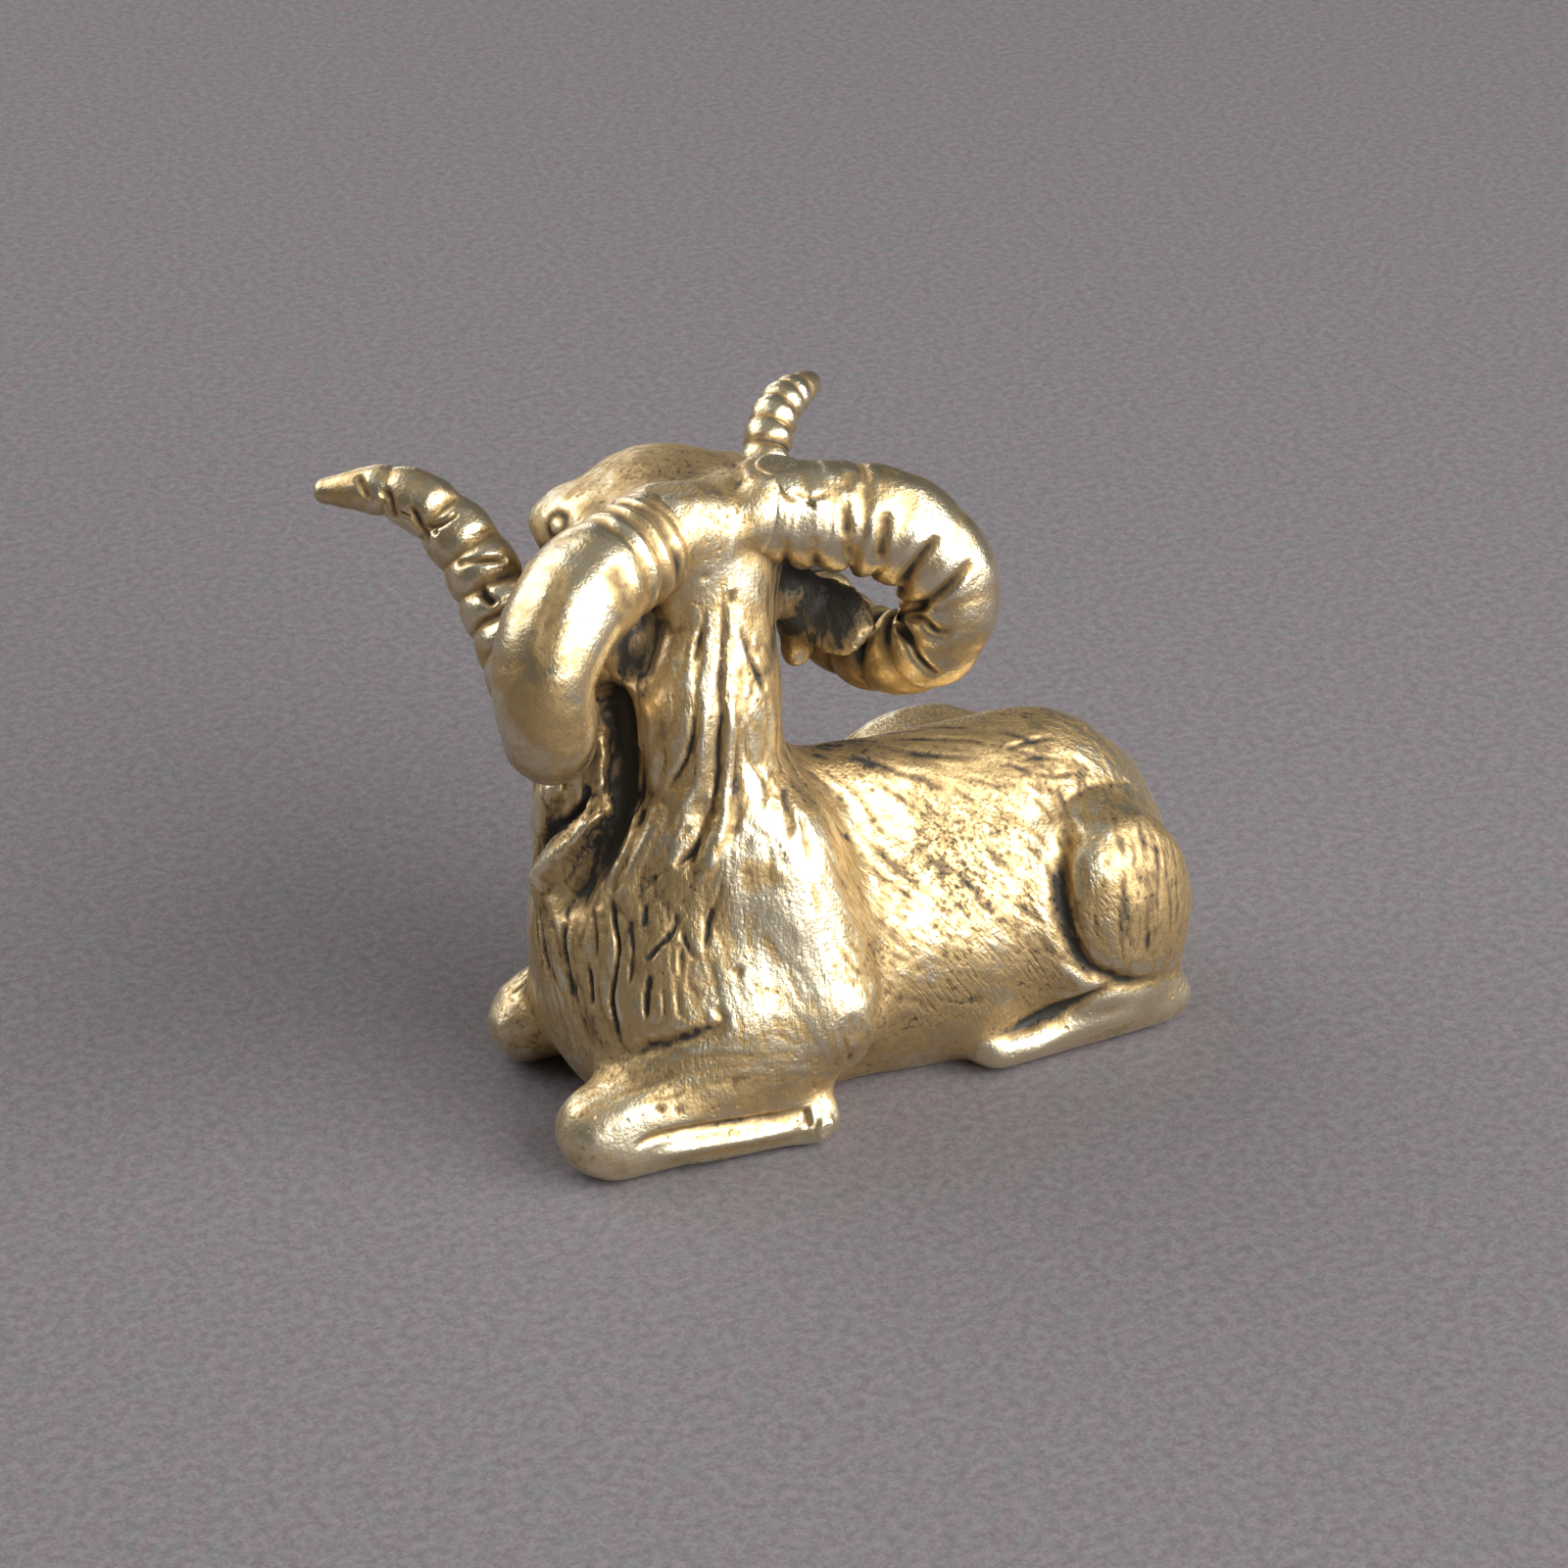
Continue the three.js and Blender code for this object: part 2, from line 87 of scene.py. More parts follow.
def sight(u, v):
    """Direction of the line of sight through a point of the picture."""
    way = (u / PICTURE - 0.5) * RIGHT - (v / PICTURE - 0.5) * UP - FOCAL * BACK
    return unit(way)


# Solid noise, the same on every run: large odd numbers mix up the points of a lattice
MIXERS = np.array([374761393, 668265263, 2147483647, 1274126177, 2246822519], np.uint32)


def lattice(cells, seed):
    """A number from -1 to 1 for each cell."""
    x, y, z = (cells[..., axis].astype(np.uint32) for axis in range(3))
    mixed = x * MIXERS[0] ^ y * MIXERS[1] ^ z * MIXERS[2]
    mixed = (mixed ^ np.uint32(seed * 7919 + 17)) * MIXERS[3]
    mixed ^= mixed >> np.uint32(15)
    mixed = mixed * MIXERS[4]
    mixed ^= mixed >> np.uint32(13)
    return mixed.astype(np.float64) / 2**31 - 1


def noise(points, size, seed=0):
    """Smooth value noise from -1 to 1, with lumps of about that size."""
    place = points / size + 1000
    cell = np.floor(place).astype(np.int64)
    part = place - cell
    part = part * part * (3 - 2 * part)
    total = 0
    for corner in np.ndindex(2, 2, 2):
        weight = np.prod(np.where(corner, part, 1 - part), axis=-1)
        total = total + weight * lattice(cell + np.array(corner), seed)
    return total


def unit(ways):
    """The ways, each with length one."""
    return ways / np.linalg.norm(ways, axis=-1, keepdims=True)


def read(items, key):
    """One place or way for each of a mesh's items."""
    values = np.empty((len(items), 3))
    items.foreach_get(key, values.ravel())
    return values


# Working meshes
class Clay:
    """A mesh that is being shaped, in millimetres."""

    def __init__(self, mesh):
        self.mesh = mesh
        self.v = read(mesh.vertices, "co")
        self.edges = np.empty((len(mesh.edges), 2), dtype=np.int64)
        mesh.edges.foreach_get("vertices", self.edges.ravel())
        self.count = np.bincount(self.edges.ravel(), minlength=len(self.v))
        self.refresh()

    def refresh(self):
        self.mesh.vertices.foreach_set("co", self.v.ravel())
        self.mesh.update()
        self.n = read(self.mesh.vertex_normals, "vector")

    def mean(self, values):
        a, b = self.edges.T
        size = len(self.v)
        columns = values.reshape(size, -1)
        sums = [
            np.bincount(a, column[b], size) + np.bincount(b, column[a], size)
            for column in columns.T
        ]
        return (np.array(sums) / self.count).T.reshape(values.shape)

    def softened(self, values, rounds, share=0.6):
        for _ in range(rounds):
            values = values + share * (self.mean(values) - values)
        return values

    def smooth(self, rounds):
        """Taubin smoothing: facets go and the volume stays."""
        for _ in range(rounds):
            self.v = self.v + 0.6 * (self.mean(self.v) - self.v)
            self.v = self.v - 0.62 * (self.mean(self.v) - self.v)
        self.refresh()

    def push(self, amount):
        self.v = self.v + self.n * amount[:, None]

    def tree(self):
        polygons = [p.vertices[:] for p in self.mesh.polygons]
        return BVHTree.FromPolygons(self.v.tolist(), polygons)


def mesh_of(bm, name):
    """The finished working mesh."""
    mesh = bpy.data.meshes.new(name)
    bm.to_mesh(mesh)
    bm.free()
    return mesh


def copy_of(node):
    """The CAD node's mesh, welded and in millimetres."""
    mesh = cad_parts[node].data.copy()
    mesh.materials.clear()
    bm = bmesh.new()
    bm.from_mesh(mesh)
    bmesh.ops.remove_doubles(bm, verts=bm.verts, dist=1e-6)
    bmesh.ops.scale(bm, vec=(1 / MM,) * 3, verts=bm.verts)
    bmesh.ops.recalc_face_normals(bm, faces=bm.faces)
    bm.to_mesh(mesh)
    bm.free()
    return mesh


def revoxelled(meshes, size):
    """One closed skin round all the meshes, of quads of that size."""
    bm = bmesh.new()
    for mesh in meshes:
        bm.from_mesh(mesh)
    carrier = bpy.data.objects.new("clay", mesh_of(bm, "clay"))
    SCENE.collection.objects.link(carrier)
    modifier = carrier.modifiers.new("voxels", "REMESH")
    modifier.mode = "VOXEL"
    modifier.voxel_size = size
    graph = bpy.context.evaluated_depsgraph_get()
    result = bpy.data.meshes.new_from_object(carrier.evaluated_get(graph))
    bpy.data.objects.remove(carrier)
    return result


def refined(mesh, chosen):
    """The mesh with its chosen faces cut in four."""
    bm = bmesh.new()
    bm.from_mesh(mesh)
    bm.faces.ensure_lookup_table()
    edges = {edge for face in bm.faces if chosen[face.index] for edge in face.edges}
    bmesh.ops.subdivide_edges(bm, edges=list(edges), cuts=1, use_grid_fill=True)
    bm.to_mesh(mesh)
    bm.free()
    return mesh


# Strokes of the chasing tool. Each is a path on the surface, a width and a depth.
def curved(points, step):
    """Points that a smooth line through the given ones passes, about a step apart."""
    points = np.asarray(points, float)
    if len(points) == 2:
        points = np.array([points[0], points.mean(0), points[1]])
    ends = np.vstack([2 * points[0] - points[1], points, 2 * points[-1] - points[-2]])
    out = []
    for p0, p1, p2, p3 in zip(ends, ends[1:], ends[2:], ends[3:]):
        count = max(int(np.linalg.norm(p2 - p1) / step), 1)
        for t in np.arange(count) / count:
            out.append(0.5 * (
                2 * p1 + (p2 - p0) * t + (2 * p0 - 5 * p1 + 4 * p2 - p3) * t**2
                + (3 * p1 - p0 - 3 * p2 + p3) * t**3
            ))
    out.append(points[-1])
    return np.array(out)


def on_skin(tree, pixels):
    """Where the lines of sight through points of the picture meet the skin."""
    hits = [tree.ray_cast(Vector(EYE), Vector(sight(u, v)))[0] for u, v in pixels]
    return np.array([hit for hit in hits if hit is not None])


def nearness(v, path, reach):
    """For points within reach of a path: their numbers, distance to it and place along it."""
    low, high = path.min(0) - reach, path.max(0) + reach
    near = np.flatnonzero(np.all((v > low) & (v < high), axis=1))
    best = np.full(len(near), np.inf)
    where = np.zeros(len(near))
    steps = max(len(path) - 1, 1)
    for i, (a, b) in enumerate(zip(path, path[1:])):
        ab = b - a
        t = np.clip((v[near] - a) @ ab / max(ab @ ab, 1e-9), 0, 1)
        gap = np.linalg.norm(v[near] - a - t[:, None] * ab, axis=1)
        closer = gap < best
        best[closer] = gap[closer]
        where[closer] = ((i + t) / steps)[closer]
    kept = best < reach
    return near[kept], best[kept], where[kept]


def laid(body, strokes, step=0.25):
    """How deep the strokes reach at each point. Both ends of a stroke run out to nothing."""
    amount = np.zeros(len(body.v))
    for path, width, depth in strokes:
        if len(path) < 2:
            continue
        dense = curved(path, step)
        index, gap, where = nearness(body.v, dense, 2.5 * width)
        ends = np.clip(np.minimum(where, 1 - where) * 5, 0, 1) ** 0.6
        cut = depth * ends * np.exp(-(gap / width) ** 2 * 1.4)
        amount[index] = np.where(np.abs(cut) > np.abs(amount[index]), cut, amount[index])
    return amount


def carve(body, strokes):
    """Pushes the skin in along the strokes."""
    amount = laid(body, strokes)
    body.push(-amount)
    body.refresh()
    return amount


# Relief of the body, as places in the picture: (depth, width, path). A negative depth is a
# raised form.
FORMS = [
    # the hollow beside the throat, its dim inner strand and the locks at its foot
    (0.3, 0.8, [(634, 700), (638, 750), (636, 800), (626, 850), (608, 885), (590, 915),
                (566, 940)]),
    (-0.4, 0.4, [(612, 745), (613, 780), (611, 815)]),
    (0.6, 1.0, [(650, 606), (662, 640), (655, 668), (645, 700)]),
    (-0.85, 0.7, [(626, 815), (603, 836), (586, 856), (565, 880), (552, 902), (552, 928)]),
    (-0.5, 0.9, [(575, 800), (556, 815), (543, 830), (548, 850)]),
    (0.45, 0.3, [(600, 800), (594, 822), (578, 838), (560, 850), (546, 874)]),
    (-0.3, 0.45, [(650, 712), (657, 751), (657, 800), (650, 840), (640, 870), (620, 905)]),
    (-0.25, 0.6, [(672, 820), (660, 860), (640, 895), (632, 930)]),
    (-0.3, 0.5, [(744, 700), (743, 760), (740, 820), (728, 870), (715, 900)]),
    (-0.2, 0.45, [(720, 700), (717, 750), (712, 795), (695, 825), (682, 850)]),
    (0.25, 0.6, [(722, 815), (712, 850), (700, 872), (690, 885)]),
    # shoulder and upper arm
    (0.25, 0.8, [(890, 960), (897, 985), (902, 1010), (894, 1050), (880, 1090), (866, 1125)]),
    # thigh
    (0.6, 0.7, [(1092, 838), (1083, 870), (1082, 900), (1084, 930), (1092, 962), (1110, 988),
               (1146, 1004), (1190, 998)]),
    # bar of the hind foot and of the folded front leg
    (0.4, 0.45, [(1004, 1064), (1046, 1047), (1086, 1028), (1137, 1010), (1200, 990)]),
    (-0.3, 0.8, [(1012, 1082), (1060, 1064), (1110, 1046), (1170, 1028)]),
    (0.3, 0.26, [(648, 1171), (662, 1163), (690, 1155), (740, 1147), (790, 1140), (820, 1134)]),
    (-0.25, 0.4, [(665, 1181), (700, 1172), (760, 1162), (815, 1153)]),
    (-0.3, 0.55, [(835, 1150), (850, 1147)]),
    (0.3, 0.2, [(823, 1130), (824, 1150), (826, 1168)]),
    # crease where the chest meets the forearm
    (0.3, 0.45, [(640, 1076), (665, 1069), (690, 1062), (718, 1056), (742, 1044)]),
    (0.2, 0.3, [(748, 468), (753, 488), (752, 505)]),
]
# Round swellings and, with a negative height, dips: (place in the picture, radius, height)
SWELLINGS = [
    ((715, 512), 2.2, 0.5), ((748, 535), 2, 0.35), ((590, 516), 1.5, -0.3),
    ((618, 506), 1.7, -0.3), ((845, 1045), 3, 0.5), ((785, 895), 2.6, -0.45),
    ((872, 850), 2, 0.3), ((885, 900), 1.8, 0.25), ((695, 885), 2.2, 0.25),
    ((722, 1010), 2.2, -0.35), ((1120, 885), 1.9, 0.4), ((1150, 930), 3, 0.2),
    ((668, 700), 2.2, 0.3),
]
# Colour made darker along paths or, with a negative darkness, lighter: dirt and rubbed metal, and
# painted shade and painted highlights, as noted at each group: (darkness, width, path)
DIRT_SHADE_AND_SHEEN = [
    # the hollow beside the throat: patina and painted shade
    (0.6, 0.9, [(628, 690), (637, 730), (640, 790), (637, 830), (626, 862), (610, 890), (592, 915),
                (566, 945)]),
    (0.6, 0.4, [(602, 720), (601, 770), (600, 808), (584, 832), (562, 846), (546, 866)]),
    # painted shade in the hollow under the near horn, at the nape
    (0.45, 0.9, [(632, 640), (640, 665), (640, 690)]),
    # painted shadow between neck and ear, under the right horn; darker in the dip between
    # neck and back
    (0.6, 1.1, [(788, 560), (791, 600), (790, 650), (783, 690)]),
    (0.6, 1.5, [(795, 735), (820, 748), (850, 758), (890, 768), (930, 775)]),
    # painted shade in the creases of thigh, hind foot and upper arm
    (0.35, 0.7, [(1086, 870), (1084, 930), (1096, 970), (1120, 994), (1165, 1004)]),
    (0.4, 0.5, [(1040, 1048), (1086, 1026), (1137, 1008), (1190, 992)]),
    (0.3, 0.6, [(905, 1020), (896, 1060), (880, 1100)]),
    # painted shade on the right ear, which lies in the shadow of the horn
    (0.9, 2.2, [(815, 600), (845, 625), (880, 648)]),
    (0.9, 1.7, [(795, 585), (815, 590), (840, 597), (870, 620), (890, 640)]),
    (0.85, 1.4, [(800, 630), (815, 650), (835, 662), (860, 672), (882, 664)]),
    # haunch: painted shade on its side that the light misses
    (0.4, 3, [(1150, 825), (1178, 890), (1185, 980)]),
    # painted shade along the top of the crown
    (0.32, 2.8, [(625, 478), (670, 470), (720, 478)]),
    # top of the back: partly patina, partly painted shade
    (0.42, 3.2, [(900, 765), (1020, 762), (1100, 785)]),
    # the shoulder lighter: rubbed metal and a painted highlight
    (-0.3, 3.2, [(775, 820), (800, 890), (815, 950), (800, 1010)]),
    # chest: darker, partly patina and partly painted shade
    (0.26, 3, [(575, 900), (620, 950), (670, 990), (705, 1040)]),
    # darker over the lock below the throat
    (0.2, 1.6, [(660, 840), (620, 875), (580, 905)]),
    # painted shade on the forearm below its highlight
    (0.2, 1.4, [(650, 1140), (740, 1118), (835, 1100)]),
    # the nape lighter: rubbed metal and a painted highlight
    (-0.16, 1.6, [(738, 515), (735, 555), (730, 595)]),
    # the chest's left side darker
    (0.2, 1.2, [(590, 950), (600, 1010), (620, 1060)]),
    # painted shade in the crease where the chest meets the forearm
    (0.3, 0.5, [(650, 1072), (690, 1060), (745, 1040)]),
]
# Grooves between the strands of hair: (depth, width, path)
GROOVES = [
    # neck
    (0.24, 0.17, [(739, 603), (738, 652), (734, 701), (736, 726), (733, 751), (731, 795),
                  (727, 822)]),
    (0.22, 0.17, [(727, 822), (716, 850), (707, 872), (700, 902)]),
    (0.24, 0.18, [(709, 719), (707, 751), (700, 777), (688, 796), (681, 807)]),
    (0.2, 0.14, [(701, 812), (694, 831), (684, 850)]),
    (0.16, 0.12, [(704, 843), (690, 860)]),
    (0.26, 0.18, [(716, 850), (705, 870), (690, 883), (672, 893), (656, 910)]),
    (0.35, 0.17, [(658, 826), (655, 836), (651, 846)]),
    (0.2, 0.18, [(717, 640), (713, 657), (708, 675)]),
    (0.2, 0.18, [(691, 676), (687, 692), (681, 711)]),
    (0.24, 0.19, [(756, 640), (762, 658), (769, 677), (782, 706)]),
    (0.2, 0.14, [(743, 712), (748, 725), (756, 743)]),
    (0.15, 0.25, [(746, 603), (748, 616)]),
    (0.14, 0.16, [(716, 587), (722, 590)]),
    (0.2, 0.25, [(753, 742), (752, 780), (752, 820), (749, 852)]),
    (0.16, 0.14, [(762, 738), (763, 769), (778, 792), (782, 808), (777, 828)]),
    (0.16, 0.24, [(800, 802), (807, 849), (801, 876), (804, 888)]),
    (0.16, 0.24, [(817, 829), (824, 855), (831, 884)]),
    (0.14, 0.18, [(838, 818), (853, 844), (872, 862), (884, 885), (893, 930)]),
    (0.12, 0.17, [(863, 880), (873, 903), (882, 925)]),
    (0.12, 0.14, [(737, 900), (728, 930)]),
    # chest
    (0.26, 0.17, [(575, 942), (575, 962), (577, 988)]),
    (0.2, 0.15, [(604, 928), (607, 950), (608, 982)]),
    (0.26, 0.17, [(601, 986), (602, 1004), (604, 1028)]),
    (0.3, 0.17, [(625, 915), (627, 944), (630, 967), (626, 1001), (623, 1023), (628, 1044),
                 (633, 1066)]),
    (0.24, 0.16, [(659, 922), (657, 946)]),
    (0.25, 0.16, [(663, 995), (659, 1019), (660, 1042)]),
    (0.25, 0.16, [(691, 932), (687, 951), (671, 967), (659, 981)]),
    (0.22, 0.15, [(692, 945), (704, 971), (716, 988), (725, 1006)]),
    (0.26, 0.18, [(696, 962), (695, 989), (692, 1012), (694, 1040)]),
    (0.2, 0.14, [(729, 924), (723, 944), (719, 970)]),
    (0.2, 0.3, [(748, 990), (757, 996)]),
    (0.3, 0.28, [(730, 1028), (740, 1042)]),
    (0.1, 0.11, [(706, 1011), (715, 1020)]),
    (0.12, 0.14, [(585, 1000), (590, 1030), (600, 1052)]),
    (0.12, 0.14, [(560, 960), (563, 990), (575, 1020)]),
    (0.14, 0.12, [(643, 940), (645, 975), (641, 1010)]),
    (0.12, 0.12, [(677, 1010), (678, 1040)]),
    (0.2, 0.12, [(575, 802), (576, 824)]),
    # back and rump
    (0.12, 0.2, [(844, 753), (900, 754), (982, 754), (1005, 760)]),
    (0.12, 0.16, [(1026, 764), (1052, 756), (1075, 753)]),
    (0.1, 0.14, [(1056, 790), (1075, 791), (1096, 789)]),
    (0.1, 0.13, [(1047, 797), (1064, 807)]),
    (0.14, 0.24, [(1086, 822), (1098, 810), (1111, 804), (1152, 797)]),
    (0.08, 0.13, [(1040, 775), (1062, 773), (1085, 775)]),
    # forearm
    (0.14, 0.2, [(668, 1130), (678, 1134)]),
    (0.12, 0.18, [(690, 1131), (696, 1137)]),
    (0.12, 0.16, [(828, 1100), (832, 1112)]),
    (0.12, 0.2, [(815, 1083), (845, 1086)]),
]
# The same on the horns
HORN_MARKS = {
    LEFT_SIDE: [
        (0.06, 0.5, [(580, 575), (572, 595), (562, 625), (555, 660), (550, 690)]),
        (0.08, 0.7, [(622, 575), (636, 600), (641, 630)]),
        (0.5, 0.28, [(490, 601), (498, 611), (506, 618)]),
        (0.26, 0.16, [(430, 540), (450, 534), (468, 524)]),
        (0.2, 0.14, [(407, 523), (419, 528)]),
        (0.2, 0.3, [(366, 484), (370, 497), (377, 512)]),
        (0.26, 0.3, [(392, 498), (398, 512), (404, 530)]),
        (0.3, 0.32, [(418, 515), (426, 532), (436, 556)]),
        (0.2, 0.13, [(442, 540), (446, 545)]),
        (0.3, 0.2, [(518, 572), (494, 571), (466, 576)]),
    ],
    RIGHT_SIDE: [
        (0.2, 0.3, [(801, 590), (801, 575), (803, 545)]),
        (0.22, 0.35, [(832, 592), (832, 572), (831, 545)]),
        (0.24, 0.42, [(866, 594), (867, 565), (864, 535), (862, 508)]),
        (0.24, 0.42, [(890, 600), (897, 575), (900, 550), (905, 520)]),
        (0.35, 0.34, [(906, 612), (918, 597), (936, 574), (958, 547)]),
        (0.35, 0.34, [(912, 630), (935, 620), (965, 601), (992, 573)]),
        (0.3, 0.3, [(912, 628), (934, 630), (955, 645), (974, 645)]),
        (0.3, 0.3, [(912, 636), (927, 651), (936, 672), (958, 690)]),
        (0.1, 0.12, [(808, 500), (826, 507), (846, 504)]),
        (0.22, 0.13, [(822, 511), (832, 517)]),
        (0.12, 0.12, [(792, 494), (800, 506), (812, 512)]),
        (-0.12, 0.5, [(840, 470), (846, 480), (842, 492)]),
        (-0.12, 0.5, [(884, 474), (890, 486), (888, 500)]),
        (0.16, 0.2, [(776, 500), (770, 520), (774, 540)]),
        (0.12, 0.4, [(868, 464), (866, 480), (864, 500)]),
    ],
}
# Colour made darker or lighter on the horns: dirt, painted shade, a painted reflection and
# painted highlights, as noted at each mark
HORN_DIRT_SHADE_AND_SHEEN = {
    LEFT_SIDE: [
        # darker in the pit
        (0.3, 0.4, [(488, 600), (500, 618)]),
        # painted shade on the lower end of the near horn
        (0.2, 1.5, [(545, 690), (560, 720), (575, 760)]),
        # painted reflection: the dark streak between the highlights of the two lamps
        (0.2, 0.6, [(580, 575), (572, 595), (562, 625), (555, 660), (550, 690)]),
        # a darker pocket in the highlight
        (0.2, 0.9, [(622, 575), (636, 600), (641, 640)]),
        # darker over the root rings
        (0.4, 1.6, [(600, 525), (650, 512), (692, 545)]),
        # darker where the root meets the head
        (0.35, 0.8, [(694, 555), (690, 580), (678, 605)]),
        # the bulge lighter: a painted highlight
        (-0.12, 2, [(600, 600), (600, 630), (598, 655)]),
    ],
    RIGHT_SIDE: [
        # painted shade on the return of the horn, inside its curl
        (0.65, 1.3, [(830, 600), (850, 620), (868, 640), (880, 650)]),
        (0.6, 1.0, [(860, 655), (875, 670), (884, 672)]),
        # painted shadow between the root of the horn and the nape
        (0.3, 1, [(790, 570), (812, 580)]),
        # painted shade in the valleys on the underside of the horn
        (0.45, 0.4, [(803, 590), (804, 570), (806, 552)]),
        (0.45, 0.4, [(834, 592), (834, 570), (833, 550)]),
        (0.45, 0.4, [(866, 590), (866, 555), (862, 515)]),
        (0.45, 0.4, [(892, 597), (898, 570), (903, 550)]),
        (0.4, 0.4, [(915, 605), (930, 585), (945, 565)]),
    ],
}

# Way the hair lies: (path in the picture)
LIE = [
    [(900, 785), (960, 822), (1010, 860)], [(880, 830), (930, 880), (990, 930)],
    [(960, 800), (1020, 840), (1060, 880)], [(900, 940), (960, 975), (1030, 1000)],
    [(1000, 900), (1060, 960)], [(900, 1020), (980, 1030), (1060, 1010)],
    [(850, 765), (920, 775), (1000, 780)], [(1010, 735), (1060, 745), (1110, 765)],
    [(1120, 810), (1130, 870), (1130, 930)], [(1160, 820), (1185, 880), (1190, 950)],
    [(1140, 960), (1150, 1000)], [(1190, 820), (1208, 880), (1210, 950)],
    [(735, 600), (735, 700), (730, 800), (700, 900)],
    [(700, 600), (690, 700), (680, 800), (640, 890)],
    [(640, 900), (635, 980), (645, 1060)], [(600, 940), (600, 1000), (615, 1050)],
    [(680, 930), (690, 1000), (700, 1050)], [(560, 950), (570, 1000)],
    [(760, 740), (780, 800), (800, 880), (815, 950)], [(790, 780), (840, 860), (880, 940)],
    [(740, 900), (750, 980), (770, 1040)], [(800, 950), (830, 1020), (850, 1080)],
    [(590, 1140), (650, 1110), (720, 1090), (800, 1080)], [(650, 1150), (740, 1125), (820, 1110)],
    [(620, 470), (590, 500), (565, 540)], [(700, 470), (650, 480)],
]
# The same for what the picture doesn't show: (place, way)
FAR_LIE = [
    ((-12, -8, 10), (-0.2, 0, -1)), ((-6, -9, 7), (-0.1, 0, -1)), ((-16, -5, 9), (-0.1, 0, -1)),
    ((0, -8, 10), (-0.7, 0, -0.7)), ((-2, -3, 15), (-1, 0, -0.2)), ((4, -8, 12), (-0.5, 0, -0.8)),
    ((2, -8, 4), (-0.8, 0, -0.5)), ((9, -8, 7), (-0.1, 0, -1)), ((14, -7, 8), (0, 0, -1)),
    ((18, -3, 7), (0.1, 0, -1)), ((15, -7, 14), (0.1, 0, -1)), ((8, -6, 17), (0, -0.2, -1)),
    ((5, -4, 22), (-0.1, 0, -1)), ((12, -5, 22), (0.1, 0, -1)), ((-19, 0, 8), (0, 0, -1)),
    ((7.7, -10, 26), (0, -0.6, -0.8)), ((4, -8, 27), (0, -0.6, -0.8)),
    ((11, -8, 27), (0, -0.6, -0.8)),
    ((7.7, -6, 33), (0, -1, -0.1)), ((7.7, -13, 23), (0, -0.5, -0.8)), ((7.7, -11, 16), (0, 0, -1)),
    ((14, -7, 2), (-1, 0, 0)), ((10, -9, 2), (-1, 0, 0)), ((-9, -8, 1.5), (1, 0, 0)),
    ((-9, 8, 1.5), (1, 0, 0)), ((12, 9, 1.5), (-1, 0, 0)), ((10, 3, 24), (0, 0.1, -1)),
]

# The face, mirrored at its middle. Socket and ball of the eye: (place in the picture, radius,
# depth). The dark rim lies at its own distance from the middle of the ball.
EYE_DABS = [((568, 533), 0.95, 0.35), ((566, 535), 0.5, -0.5)]
EYE_RIM, EYE_RIM_WIDTH, EYE_RIM_DARK = 0.66, 0.24, 0.8
# Mouth, lip and, as dabs, nostrils and cheeks, by spread from the middle, y and drop from the
# poll: (depth, width, path) and (place, radius, depth)
FACE_LINES = [
    (0.22, 0.2, [(0, -16.6, 13.2), (1.3, -16, 13.3), (2.2, -14.2, 13.2), (2.6, -12.4, 12.6)]),
    (0.15, 0.14, [(0, -16.6, 11.6), (0, -16.8, 13)]),
]
FACE_DABS = [((1.25, -16.2, 11.4), 0.5, 0.4), ((2.6, -10.5, 9.4), 1.4, 0.2)]

# Middle of the head, and the height of the poll
HEAD_X, POLL = 7.7, 33.6

# Cell of the body's skin, and how often the skin is smoothed: whole, where it is cut finer
# and where it runs on softly
BODY_CELL = 0.33
BODY_ROUNDS, FINE_ROUNDS, SOFT_ROUNDS = 16, 2, 60
# Where the skin of the head runs on softly: (place, reach), and how far it fades out
SOFT = [((11.3, -0.5, 31.4), 3.2), ((4.1, -0.5, 31.4), 3.2), ((1.4, -2.8, 21.2), 0.3)]
SOFT_FADE = 2
# Where the head's skin leads onto a horn: from and to along the horn, from the middle outwards
# to beside the horn, its height on the horn and how far and where it sinks in
LEAD_FROM, LEAD_TO = (-3.2, -1.4), (1.5, 2.5)
LEAD_INNER, LEAD_OUTER = (1.2, 1.8), (0.4, 1.1)
LEAD_RISE, LEAD_SINK, LEAD_SINKS_AT = 0.04, 0.34, (-1.3, -0.5)
# Faces that are cut finer: how far they are turned to the camera, and the face of the goat.
# The plain foot of the rump stays coarse.
SEEN = 0.2
FACE_Y, FACE_Z = -6.5, 20
RUMP_X, RUMP_Z = 5, 5
# Ends of the right ear and its tip: (place in the picture, distance from the camera)
EAR = [((806, 612), 259.2), ((884, 646), 258.2)]
EAR_TIP = ((813, 666), 260.0)
EAR_TIP_RADIUS = 0.85
EAR_MIDDLE = (845, 630)
EAR_LONGER, EAR_HIGH, EAR_THICK = 1.15, 1.9, 0.65
# Strokes of the chasing tool on the mane: how many, their steps, step length and wander, and
# from where to where their width and depth go. They lie in a block of x, y and z, but not on
# the muzzle.
RNG = np.random.default_rng(5)
STRANDS, STRAND_STEPS, STRAND_STEP, STRAND_WANDER = 190, (5, 13), 0.6, 0.12
STRAND_WIDTH, STRAND_DEPTH = (0.14, 0.22), (0.16, 0.32)
STRAND_X, STRAND_Y, STRAND_LOW, STRAND_HIGH = 4.5, 6, 3.5, 26
MUZZLE_Y, MUZZLE_Z = -9, 19
# Where the mane begins towards the front, at its foot, where it ends at the head, and where
# it thins out on the near shoulder
MANE_FRONT, MANE_FOOT, MANE_TOP = (3.5, 7), (4.5, 7), (26, 30)
SHOULDER_Y, SHOULDER_TOP = (5.5, 8.5), (15, 18)
